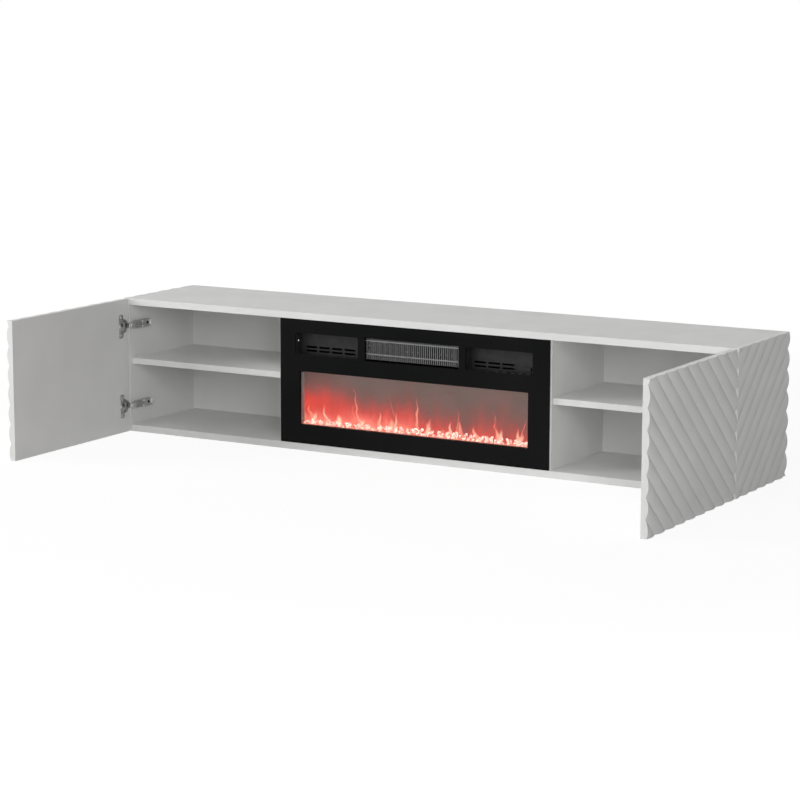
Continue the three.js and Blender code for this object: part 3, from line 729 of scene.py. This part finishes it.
ear_between = (5.8 * mm, 7.3 * mm)
adjust_screw_v = 43 * mm
adjust_screw_out = 6.6 * mm
lip_half = 7 * mm
arm_hole_v = 66 * mm
link_painted_shade_to_v = -12.5 * mm
arm_hole_radius = 3.8 * mm


def span(middle, half):
    return middle - half, middle + half


def rounded_plate(bm, side, u, v, z, radius, ease, corner_steps=5):
    """A flat plate with round corners, from one depth to another, with its far edge eased."""
    outline = []
    corners = [(v[1] - radius, z[1] - radius), (v[0] + radius, z[1] - radius)]
    corners += [(v[0] + radius, z[0] + radius), (v[1] - radius, z[0] + radius)]
    for quarter, (cv, cz) in enumerate(corners):
        for step in range(corner_steps + 1):
            angle = math.pi / 2 * (quarter + step / corner_steps)
            outline.append((cv, cz, math.cos(angle), math.sin(angle)))
    layers = [(u[0], 0), (u[1] - ease, 0), (u[1], ease)]
    rings = []
    for depth, inset in layers:
        reach = radius - inset
        places = [(cv + reach * across, cz + reach * up) for cv, cz, across, up in outline]
        rings.append([bm.verts.new(at_end(side, depth, *place)) for place in places])
    stacked(bm, rings)


def wing_plate(side, level):
    """The plate that the cup hangs in, cut out round the cup's mouth, and the bright lug by it."""
    node = f"{side}_{level}_hinge_cup"
    z = hinge_height(node)
    bm = bmesh.new()
    u = (flange_from_u, flange_to_u - 0.2 * mm)
    v = span(wing_v, wing_half_width)
    rounded_plate(bm, side, u, v, span(z, wing_half_length), 5 * mm, 0.4 * mm)
    plate = finished(node + "_wings", bm, body_holding(node), "hinge_steel")
    below = at_end(side, flange_from_u - 3 * mm, cup_v, z)
    cut_away(plate, bore(below, inboard(side), mouth_cut_radius, 6 * mm, 56))
    lug = bmesh.new()
    lug_u = (flange_to_u - 0.5 * mm, flange_to_u + 1.1 * mm)
    rounded_plate(lug, side, lug_u, lug_v, span(z, lug_half), 1 * mm, 0.4 * mm, 3)
    finished(node + "_lug", lug, body_holding(node), "stud_metal")


def hinge_cup(side, level):
    """The cup with its ring and ears, and the two screws of its plate."""
    node = f"{side}_{level}_hinge_cup"
    z = hinge_height(node)
    bm = bmesh.new()
    base = at_end(side, 0, cup_v, z)
    inner = cup_radius - cup_wall
    profile = [
        (0, cup_floor_u),
        (cup_radius - 1 * mm, cup_floor_u),
        (cup_radius, cup_floor_u + 1 * mm),
        (cup_radius, flange_from_u),
        (ring_radius, flange_from_u),
        *rounded(ring_radius, flange_to_u, 0.5 * mm),
        (inner + 0.5 * mm, flange_to_u),
        (inner, flange_to_u - 0.5 * mm),
        (inner, cup_floor_u + cup_wall + 1 * mm),
        (inner - 1 * mm, cup_floor_u + cup_wall),
        (0, cup_floor_u + cup_wall),
    ]
    turned(bm, profile, base, inboard(side), 56)
    ear_u = (cup_floor_u + 0.6 * mm, door_face_u)
    ear_v = span(cup_pin_v, 2.5 * mm)
    for way in (-1, 1):
        screw = at_end(side, flange_to_u - 0.2 * mm, wing_v, z + way * wing_screw_from_middle)
        screw_head(bm, screw, inboard(side), wing_screw_radius, 1.3 * mm)
        ear_z = sorted(z + way * out for out in ear_between)
        rounded_plate(bm, side, ear_u, ear_v, ear_z, 0.3 * mm, 0.2 * mm, 1)
    finished(node + "_turned", bm, body_holding(node), "hinge_steel", node)


def access_hole(made, side, z, top_u, above, depth):
    """Bores the hole over the screw in the side panel, and marks its inside for painted shade."""
    start = at_end(side, top_u + above, arm_hole_v, z)
    cut_away(made, bore(start, -inboard(side), arm_hole_radius, depth))

    def inside(face):
        away = Vector((0, face.center.y - start.y, face.center.z - start.z)).length
        u = half_width - abs(face.center.x)
        return away < arm_hole_radius + 0.1 * mm and u < top_u - 0.3 * mm

    # The inside of the hole gets painted shade.
    marked(made, painted_shade_value, inside)


def arm_section(v, half, under):
    """A channel's outline at one place along the arm: outside over the bends, and back inside."""
    outside = []
    for way in (-1, 1):
        turns = [math.pi / 2 * step / 4 for step in range(5)]
        if way > 0:
            turns.reverse()
        for turn in turns:
            depth = arm_top_u - arm_bend + arm_bend * math.sin(turn)
            out = half - arm_bend + arm_bend * math.cos(turn)
            outside.append((depth, v, way * out))
    inner = half - arm_sheet
    roof = arm_top_u - arm_sheet
    inside = [(under, v, inner), (roof - 0.3 * mm, v, inner), (roof, v, inner - 0.3 * mm)]
    inside += [(roof, v, 0.3 * mm - inner), (roof - 0.3 * mm, v, -inner), (under, v, -inner)]
    return [(under, v, -half), *outside, (under, v, half), *inside]


def hinge_arm(side, level):
    """The arm: a pressed channel that widens behind its nose, with a lip, a hole and two screws."""
    node = f"{side}_{level}_hinge_arm"
    z = hinge_height(node)
    waist_v = (waist_from_v + waist_to_v) / 2
    waist_half = (nose_half + rear_half) / 2
    sections = [
        arm_section(nose_from_v, nose_half - 1 * mm, nose_under_u + 2 * mm),
        arm_section(nose_from_v + 1.5 * mm, nose_half, nose_under_u),
        arm_section(waist_from_v, nose_half, nose_under_u),
        arm_section(waist_v, waist_half, rear_under_u + 0.3 * mm),
        arm_section(waist_to_v, rear_half, rear_under_u),
        arm_section(arm_end_v - 3 * mm, rear_half, rear_under_u),
        arm_section(arm_end_v, rear_half - 1.5 * mm, rear_under_u),
    ]
    bm = bmesh.new()
    rings = []
    for section in sections:
        rings.append([bm.verts.new(at_end(side, u, v, z + out)) for u, v, out in section])
    stacked(bm, rings)
    channel = finished(node + "_pressed", bm, "cabinet", "hinge_steel", node, crease=30)
    access_hole(channel, side, z, arm_top_u, 2 * mm, 4.5 * mm)
    eased(channel, 0.25 * mm, 2, 50)
    hinge_arm_fittings(side, level, z)


def hinge_arm_fittings(side, level, z):
    """What sits on the arm: its pin, two adjusting screws, the end lip and the bright nose cover."""
    bm = bmesh.new()
    pin = at_end(side, *arm_pin, z - nose_half)
    rod(bm, pin, upward, arm_pin_radius, 2 * nose_half, 20)
    for way in (-1, 1):
        place = at_end(side, arm_top_u, adjust_screw_v, z + way * adjust_screw_out)
        turned(bm, [(0, 0), *dome(3.1 * mm, 0, 2.2 * mm, 6)], place, inboard(side), 24)
    lip_low = at_end(side, arm_top_u - 1 * mm, arm_end_v - 1.6 * mm, z - lip_half)
    lip_high = at_end(side, arm_top_u + 3.2 * mm, arm_end_v + 2.4 * mm, z + lip_half)
    block(bm, Vector(map(min, lip_low, lip_high)), Vector(map(max, lip_low, lip_high)), 0.5 * mm)
    finished(f"{side}_{level}_hinge_screws", bm, "cabinet", "stud_metal")
    cover = bmesh.new()
    u = (arm_top_u, arm_top_u + 0.8 * mm)
    v = (nose_from_v + 1.8 * mm, nose_cover_to_v)
    rounded_plate(cover, side, u, v, span(z, nose_half - 0.9 * mm), 1.5 * mm, 0.3 * mm)
    finished(f"{side}_{level}_nose_cover", cover, "cabinet", "stud_metal")


def mounting_plate(side, level):
    """The plate under the arm, with a bore for the screw that the arm's hole gives access to."""
    node = f"{side}_{level}_mounting_plate"
    low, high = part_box(node)
    bm = bmesh.new()
    v = (low.y - front_y, high.y - front_y)
    rounded_plate(bm, side, (flange_from_u, plate_top_u), v, (low.z, high.z), 3 * mm, 0.8 * mm)
    core = finished(node + "_core", bm, "cabinet", "hinge_steel", node)
    access_hole(core, side, hinge_height(node), plate_top_u, 1 * mm, 9 * mm)


def in_cup(face):
    """Whether a face of a link lies in the shade of the cup, with the door at rest, and so gets painted
    shade.
    """
    return face.center.y < front_y + link_painted_shade_to_v


def hinges(side):
    for level in ("upper", "lower"):
        wing_plate(side, level)
        hinge_cup(side, level)
        # The link's faces in the cup get painted shade at 0.8 of its full darkness.
        marked(dressed(f"{side}_{level}_hinge_link", 0.3 * mm), painted_shade_value, in_cup, 0.8)
        hinge_arm(side, level)
        mounting_plate(side, level)


# Boards
solid_boards = ("top_panel", "bottom_panel", "left_divider", "right_divider", "left_shelf", "right_shelf")
board_ease = 0.5 * mm
sheet_ease = 0.25 * mm
pin_ease = 0.35 * mm


def boards():
    """The boards and sheets of the carcass, and the studs under its shelves."""
    for node in solid_boards:
        dressed(node, board_ease)
    for node in ("left_back_panel", "centre_back_panel", "right_back_panel"):
        dressed(node, sheet_ease)
    for side in ("left", "right"):
        for place in range(1, 5):
            dressed(f"{side}_shelf_pin_{place}", pin_ease, angle=50)


# Heater grille: rounded wires on two cross bars between end strips
wire_count = 46
wire_pitch = 5.95 * mm
wire_radius = 0.85 * mm
wire_low_gap = 5 * mm
wire_high_gap = 2 * mm
bar_height = 3 * mm
bar_from_top = 7 * mm
bar_from_foot = 17 * mm
end_strip = 3.7 * mm


def heater_grille():
    """The upright wires behind which the heater blows, their two bars, and the end strips."""
    low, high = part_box("heater_grille")
    bm = bmesh.new()
    wire_y = low.y + wire_radius
    foot = low.z + wire_low_gap
    tip = high.z - wire_high_gap - foot
    ease = 0.5 * mm
    profile = [(0, 0), (wire_radius - ease, 0), (wire_radius, ease)]
    profile += [(wire_radius, tip - ease), (wire_radius - ease, tip), (0, tip)]
    for index in range(wire_count):
        x = (index - (wire_count - 1) / 2) * wire_pitch
        turned(bm, profile, Vector((x, wire_y, foot)), upward, 12)
    bar_y = wire_y + wire_radius - 0.4 * mm
    for bar_z in (high.z - bar_from_top - bar_height, low.z + bar_from_foot):
        block(bm, Vector((low.x, bar_y, bar_z)), Vector((high.x, high.y, bar_z + bar_height)), 0.5 * mm)
    finished("heater_grille_wires", bm, "cabinet", "grille_wire", "heater_grille")
    bm = bmesh.new()
    for x in (low.x, high.x - end_strip):
        block(bm, Vector((x, low.y, low.z)), Vector((x + end_strip, high.y, high.z)), 0.5 * mm)
    finished("heater_grille_ends", bm, "cabinet", "black_sheet")


# Recess trays with their small fittings
pilot_place = (-348.5 * mm, 14 * mm, 289.5 * mm)
pilot_radius = 2.4 * mm
bezel_wall = 0.9 * mm
bezel_rise = 0.9 * mm
tray_back_v = 32 * mm
tray_screws = [(284.4 * mm, 273.7 * mm), (284.4 * mm, 261.5 * mm), (336 * mm, 276 * mm)]
tray_screw_radius = 1.7 * mm


def pilot_lamp():
    """A small lit lens in a bezel, on the left wall of the left tray."""
    x, v, z = pilot_place
    base = Vector((x, front_y + v, z))
    outward = Vector((1, 0, 0))
    bezel = bmesh.new()
    inner = pilot_radius
    outer = pilot_radius + bezel_wall
    profile = [(inner, 0), (outer, 0), *rounded(outer, bezel_rise, 0.4 * mm)]
    profile += [(inner, bezel_rise), (inner, 0)]
    turned(bezel, profile, base, outward, 28)
    finished("pilot_bezel", bezel, "cabinet", "black_plastic")
    lens = bmesh.new()
    profile = [(0, 0), (pilot_radius, 0), *dome(pilot_radius, 0.3 * mm, 1.3 * mm, 5)]
    turned(lens, profile, base, outward, 28)
    finished("pilot_lens", lens, "cabinet", "pilot_lens")


def trays():
    dressed("left_vent_tray", 0.45 * mm)
    dressed("right_control_tray", 0.45 * mm)
    pilot_lamp()
    bm = bmesh.new()
    for x, z in tray_screws:
        place = Vector((x, front_y + tray_back_v, z))
        screw_head(bm, place, Vector((0, -1, 0)), tray_screw_radius, 0.7 * mm)
    finished("tray_screws", bm, "cabinet", "black_sheet")


# Push buttons: a cap on a stem, which ends in a collar
collar_radius = 4.5 * mm
collar_height = 2 * mm
stem_radius = 3 * mm
cap_height = 3 * mm
dish_depth = 0.7 * mm
pip_radius = 0.8 * mm


def push_button(node):
    """A cap with a rounded rim and a dished top that holds a small raised pip, over its stem."""
    low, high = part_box(node)
    centre = (low + high) / 2
    base = Vector((centre.x, centre.y, low.z))
    radius = (high.x - low.x) / 2
    rise = high.z - low.z
    cap_foot = rise - cap_height
    profile = [(0, 0), (collar_radius, 0), (collar_radius, collar_height), (stem_radius, collar_height)]
    profile += [(stem_radius, cap_foot), (radius, cap_foot)]
    profile += rounded(radius, rise, 0.9 * mm, 5)
    reach = radius - 1.6 * mm
    profile.append((reach, rise))
    for step in range(1, 6):
        share = step / 6
        profile.append((reach * (1 - share), rise - dish_depth * (1 - (1 - share) ** 2)))
    dish = rise - dish_depth
    profile.append((0, dish))
    bm = bmesh.new()
    turned(bm, profile, base, upward, 40)
    pip = [(0, dish - 0.1 * mm), (pip_radius, dish - 0.1 * mm)]
    pip += rounded(pip_radius, dish + 0.45 * mm, 0.3 * mm)
    pip.append((0, dish + 0.45 * mm))
    turned(bm, pip, base, upward, 20)
    finished(node + "_cap", bm, body_holding(node), "black_plastic", node)


def fireplace_front():
    dressed("glass_front", 0.6 * mm, 3)
    dressed("flame_window", 0.3 * mm)
    heater_grille()
    trays()
    for name in ("power", "flame", "heat_low", "heat_high", "timer"):
        push_button("button_" + name)
    dressed("power_switch", 0.5 * mm, 3, 28)


# Flames: seeded tongues, written into a fine mesh over the screen as brightness and core
flame_cell = 1.5 * mm
flame_seed = 31
tongue_reach = 70 * mm
tongue_kinds = [
    # count, then the limits of height, width, lean, sway, strength, core and belly
    (8, (70, 122), (6, 10), (-0.35, 0.15), (2, 6), (0.5, 0.95), (0.0, 0.35), (0.0, 0.2)),
    (10, (38, 64), (12, 22), (-0.45, 0.3), (2, 6), (0.5, 0.95), (0.1, 0.8), (0.1, 0.6)),
    (9, (26, 44), (20, 36), (-0.5, 0.4), (2, 5), (0.55, 0.95), (0.4, 1.0), (0.4, 1.0)),
    (26, (14, 28), (16, 34), (-0.4, 0.4), (0, 3), (0.3, 0.7), (0.0, 0.3), (0.0, 0.6)),
]


def flame_tongues():
    """Each tongue is its foot, height, width, lean, sway, strength, core and belly."""
    chance = random.Random(flame_seed)
    span = window_right_x - window_left_x
    made = []
    for count, *ranges in tongue_kinds:
        for index in range(count):
            foot = window_left_x + span * (index + chance.uniform(0.05, 0.95)) / count
            tall, wide, lean, sway, *rest = (chance.uniform(*limits) for limits in ranges)
            sway *= chance.choice((-1, 1))
            made.append((foot, tall * mm, wide * mm, lean, sway * mm, *rest))
    return made


def softened(value):
    """A value held between 0 and 1, with a gentle start and end."""
    value = min(1, max(0, value))
    return value * value * (3 - 2 * value)


def stirred(x, z):
    """A place across the screen, moved by noise that grows with height, so that flames curl."""
    rise = softened((z - window_low_z) / (50 * mm))
    slow = noise.noise(Vector((x / (32 * mm), z / (24 * mm), 3.1)))
    quick = noise.noise(Vector((x / (9 * mm), z / (13 * mm), 8.7)))
    return x + (0.3 + 0.7 * rise) * (9 * slow + 2.6 * quick) * mm


def tongue_at(tongue, x, z):
    """How strongly a tongue shows at a point, and how near the point is to its bright core."""
    foot, tall, wide, lean, sway, strength, core, belly = tongue
    rise = (z - window_low_z) / tall
    if rise >= 1:
        return 0, 0
    rise = max(0, rise)
    middle = foot + lean * tall * rise + sway * math.sin(4.4 * rise + foot / (9 * mm))
    straight = (1 - rise) ** 0.8 * (1 + 1.3 * (1 - rise) ** 4)
    leaf = 2.1 * (rise + 0.05) ** 0.5 * (1 - rise) ** 1.15
    half = wide / 2 * (straight + belly * (leaf - straight))
    out = abs(x - middle) / max(half, 0.6 * mm)
    if out >= 1:
        return 0, 0
    edge = softened((1 - out) * 1.9)
    fade = softened((1 - rise) * 3.2) * softened(0.35 + rise * 4)
    bright = core * softened((1 - out) * 1.6 - 0.2) * softened((0.85 - rise) * 2.4)
    return strength * edge * fade, bright


def flame_screen():
    """The screen's slab, with its front face divided for the flames."""
    low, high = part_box("flame_screen")
    columns = round((high.x - low.x) / flame_cell)
    rows = round((high.z - low.z) / flame_cell)
    bm = bmesh.new()
    tongue_layer = bm.verts.layers.float.new(tongue_value)
    core_layer = bm.verts.layers.float.new(core_value)
    tongues = flame_tongues()
    grid = []
    for row in range(rows + 1):
        z = low.z + (high.z - low.z) * row / rows
        line = []
        for column in range(columns + 1):
            x = low.x + (high.x - low.x) * column / columns
            corner = bm.verts.new((x, low.y, z))
            across = stirred(x, z)
            near = [tongue for tongue in tongues if abs(tongue[0] - x) < tongue_reach]
            values = [tongue_at(tongue, across, z) for tongue in near]
            dark = 1
            for value, _ in values:
                dark *= 1 - 0.9 * value
            corner[tongue_layer] = 1 - dark
            corner[core_layer] = max([core for _, core in values], default=0)
            line.append(corner)
        grid.append(line)
    for near, far in zip(grid, grid[1:]):
        for column in range(columns):
            bm.faces.new([near[column], near[column + 1], far[column + 1], far[column]])
    closed_behind(bm, 1, high.y)
    finished("flame_screen_lit", bm, "cabinet", "flame_picture", "flame_screen")


# Crystals: seeded faceted stones heaped along the foot of the window
crystal_seed = 7
crystal_rows = [
    # count, stone width, share of the bed's depth, lift over the bed, share of the heap's lift
    (52, (9, 14), 0.3, 0, 0.05),
    (44, (11, 17), 0.6, 1.5, 0.5),
    (34, (11, 18), 0.68, 2.5, 1.0),
]
heap_middle_x = 60 * mm
heap_reach = 300 * mm
heap_lift = 9 * mm
facet_angle = math.radians(16)
facet_edge = 0.55 * mm


def crystal(bm, centre, size, depth, chance, glint):
    """The hull of points scattered over an uneven ball, with narrow edges that carry a painted highlight.
    """
    half = size / 2
    stretch = Vector((half * chance.uniform(0.85, 1.1), depth / 2, half * chance.uniform(0.6, 0.85)))
    turn = Matrix.Rotation(chance.uniform(0, math.pi), 3, "Y")
    corners = []
    for _ in range(chance.randint(9, 13)):
        way = Vector([chance.gauss(0, 1) for _ in range(3)]).normalized()
        corners.append(bm.verts.new(centre + turn @ (stretch * way)))
    bmesh.ops.convex_hull(bm, input=corners)
    bmesh.ops.delete(bm, geom=[corner for corner in corners if not corner.link_faces], context="VERTS")
    corners = [corner for corner in corners if corner.is_valid]
    bmesh.ops.dissolve_limit(bm, angle_limit=facet_angle, verts=corners, edges=edges_at(corners))
    corners = [corner for corner in corners if corner.is_valid]
    faces = {face for corner in corners for face in corner.link_faces}
    # Each facet gets a random painted glow between flame red and pale.
    for face in sorted(faces, key=lambda face: face.calc_center_median().to_tuple(6)):
        face[glint] = chance.uniform(0, 0.6) ** 1.2
    rims = bmesh.ops.bevel(
        bm, geom=edges_at(corners), offset=facet_edge, segments=1, affect="EDGES", clamp_overlap=True
    )
    # The narrow edge strips get a white painted highlight.
    for face in rims["faces"]:
        face[glint] = 1.2


def ember_bed():
    """A thin plate with three rows of stones, heaped highest a little right of the middle."""
    low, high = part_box("ember_bed")
    chance = random.Random(crystal_seed)
    bm = bmesh.new()
    glint = bm.faces.layers.float.new(painted_glint_value)
    block(bm, low, Vector((high.x, high.y, low.z + 1.2 * mm)), 0.3 * mm)
    # The bed plate gets a faint painted red glow.
    for face in bm.faces:
        face[glint] = 0.1
    bed_depth = high.y - low.y
    for count, sizes, place, lift, heap_share in crystal_rows:
        for index in range(count):
            size = chance.uniform(*sizes) * mm
            reach = 0.56 * size
            depth = min(size, 0.66 * bed_depth) * chance.uniform(0.8, 1)
            x = low.x + (high.x - low.x) * (index + chance.uniform(0, 1)) / count
            x = min(max(x, low.x + reach), high.x - reach)
            y = low.y + bed_depth * place
            y = min(max(y, low.y + 0.52 * depth), high.y - 0.52 * depth)
            heap = heap_lift * max(0, 1 - ((x - heap_middle_x) / heap_reach) ** 2)
            z = low.z + lift * mm + chance.uniform(0.3, 1) * heap * heap_share + 0.3 * size
            crystal(bm, Vector((x, y, z)), size, depth, chance, glint)
    finished("ember_bed_stones", bm, "cabinet", "crystals", "ember_bed", crease=8)


# The casing behind the glass
cover_screw_radius = 3.2 * mm
cover_screw_inset = 12 * mm
cover_screws_across = 5
reveal_back_v = 25 * mm
works = ("flame_rotor_motor", "blower_motor", "blower_housing", "heater_element", "led_strip")


def lines_window(face):
    """Whether a face of the casing is one of the window's two inner sides."""
    if abs(face.normal.x) < 0.9 or face.center.y > front_y + reveal_back_v:
        return False
    return abs(abs(face.center.x) - window_right_x) < 4 * mm


def casing():
    """The sheet casing, its rear cover with screws, and the works inside."""
    # The window's two inner sides get painted flame light.
    marked(dressed("firebox_shell", 0.3 * mm), painted_flame_light_value, lines_window)
    dressed("firebox_back_cover", 0.3 * mm)
    dressed("cord_inlet", 0.5 * mm, 2, 50)
    low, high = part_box("firebox_back_cover")
    bm = bmesh.new()
    first = low.x + cover_screw_inset
    apart = (high.x - cover_screw_inset - first) / (cover_screws_across - 1)
    for index in range(cover_screws_across):
        x = first + apart * index
        for z in (low.z + cover_screw_inset, high.z - cover_screw_inset):
            screw_head(bm, Vector((x, high.y, z)), Vector((0, 1, 0)), cover_screw_radius, 1.8 * mm)
    finished("back_cover_screws", bm, "cabinet", "stud_metal")
    for node in works:
        dressed(node, 0.3 * mm, 1, 50)
    for node in ("flame_rotor", "blower_rotor"):
        nodes[node].material_slots[0].material = finishes[slot_of[node]].material


# Stage, light and camera
floor_reach = 14
floor_drop = 0.2 * mm
floor_glow = 0.905
floor_shadow_colour = 0.13
floor_near = 1.6
floor_far = 4.5
ambient_level = 0.03


def floor_brightness(tree):
    """The floor's own brightness: white far out, where it joins the background, and less by the stand."""
    place = added(tree, "TexCoord")
    distance = added(tree, "VectorMath")
    distance.operation = "LENGTH"
    tree.links.new(place.outputs["Object"], distance.inputs[0])
    return ranged(tree, distance.outputs["Value"], floor_glow, 1, floor_near, floor_far)


def seen_share(tree):
    """1 for rays from the camera, off gloss or through glass, and 0 for the rest."""
    rays = added(tree, "LightPath").outputs
    share = rays["Is Camera Ray"]
    for kind in ("Is Glossy Ray", "Is Transmission Ray"):
        larger = added(tree, "Math")
        larger.operation = "MAXIMUM"
        tree.links.new(share, larger.inputs[0])
        tree.links.new(rays[kind], larger.inputs[1])
        share = larger.outputs[0]
    return share


def by_ray(tree, bounced, seen):
    """One shader for the light that bounces, and another for what is seen."""
    choice = added(tree, "MixShader")
    for entry, output in zip(choice.inputs, (seen_share(tree), bounced, seen)):
        tree.links.new(output, entry)
    return choice.outputs[0]


def diffuse(tree, tone):
    paint = added(tree, "BsdfDiffuse")
    paint.inputs["Color"].default_value = tone
    return paint.outputs[0]


def floor_material():
    """A white floor that bounces light as a plain one does, and shows near white with the shadow on it."""
    material = bpy.data.materials.new("floor")
    material.use_nodes = True
    tree = material.node_tree
    tree.nodes.clear()
    glow = added(tree, "Emission")
    tree.links.new(floor_brightness(tree), glow.inputs["Strength"])
    seen = added(tree, "AddShader")
    tree.links.new(diffuse(tree, (*[floor_shadow_colour] * 3, 1)), seen.inputs[0])
    tree.links.new(glow.outputs[0], seen.inputs[1])
    output = added(tree, "OutputMaterial")
    tree.links.new(by_ray(tree, diffuse(tree, grey(228)), seen.outputs[0]), output.inputs["Surface"])
    return material


def floor():
    bm = bmesh.new()
    bmesh.ops.create_grid(bm, x_segments=1, y_segments=1, size=floor_reach)
    plane = meshed("floor", bm)
    plane.data.materials.append(floor_material())
    plane.location.z = -floor_drop


def world():
    """A white background where it is seen, and a faint even light from all around."""
    surroundings = bpy.data.worlds.new("surroundings")
    surroundings.use_nodes = True
    tree = surroundings.node_tree
    ambient = tree.nodes["Background"]
    seen = added(tree, "Background")
    for light, strength in ((ambient, ambient_level), (seen, 1)):
        light.inputs["Color"].default_value = (1, 1, 1, 1)
        light.inputs["Strength"].default_value = strength
    both = by_ray(tree, ambient.outputs[0], seen.outputs[0])
    tree.links.new(both, tree.nodes["World Output"].inputs["Surface"])
    bpy.context.scene.world = surroundings


def softbox(name, place, side, power):
    """A square lamp that doesn't show in glossy surfaces."""
    lamp = bpy.data.lights.new(name, "AREA")
    lamp.shape = "SQUARE"
    lamp.size = side
    lamp.energy = power
    holder = placed(name, lamp)
    holder.location = place
    holder.rotation_euler = (Vector(lamps_aim) - Vector(place)).to_track_quat("-Z", "Y").to_euler()
    holder.visible_glossy = False


lamps_aim = (0, 0, 0.15)
lamps = [
    # name, place, side, power
    ("left_softbox", (-5.35, -3.1, 2.15), 3, 232),
    ("right_softbox", (3.1, -5.35, 2.15), 3, 168),
    ("high_softbox", (-0.7, -3.8, 4.75), 3, 40),
    ("top_softbox", (0, -0.2, 5.1), 4, 34),
    ("back_softbox", (-2.4, 6, 1.9), 3, 150),
]


def lights():
    world()
    floor()
    for lamp in lamps:
        softbox(*lamp)


camera_place = (3.2568, -5.8592, 1.2964)
camera_yaw = math.radians(-30.0)
camera_pitch = math.radians(-9.8)
camera_roll = math.radians(0.1)
camera_lens = 116.98


def camera():
    """The camera's place, turn and lens, as the photograph's edges give them."""
    flat = math.cos(camera_pitch)
    ahead = Vector((math.sin(camera_yaw) * flat, math.cos(camera_yaw) * flat, math.sin(camera_pitch)))
    level = Vector((math.cos(camera_yaw), -math.sin(camera_yaw), 0))
    upright = level.cross(ahead)
    right = math.cos(camera_roll) * level + math.sin(camera_roll) * upright
    up = -math.sin(camera_roll) * level + math.cos(camera_roll) * upright
    view = bpy.data.cameras.new("camera")
    view.lens = camera_lens
    view.sensor_width = 36
    holder = placed("camera", view)
    turn = Matrix((right, up, -ahead)).transposed().to_4x4()
    holder.matrix_world = Matrix.Translation(camera_place) @ turn
    bpy.context.scene.camera = holder
    bpy.context.scene.view_settings.view_transform = "Standard"


camera()
lights()
boards()
for side in ("left", "right"):
    fluted_boards(side)
    hinges(side)
fireplace_front()
flame_screen()
ember_bed()
casing()

bpy.context.view_layer.update()
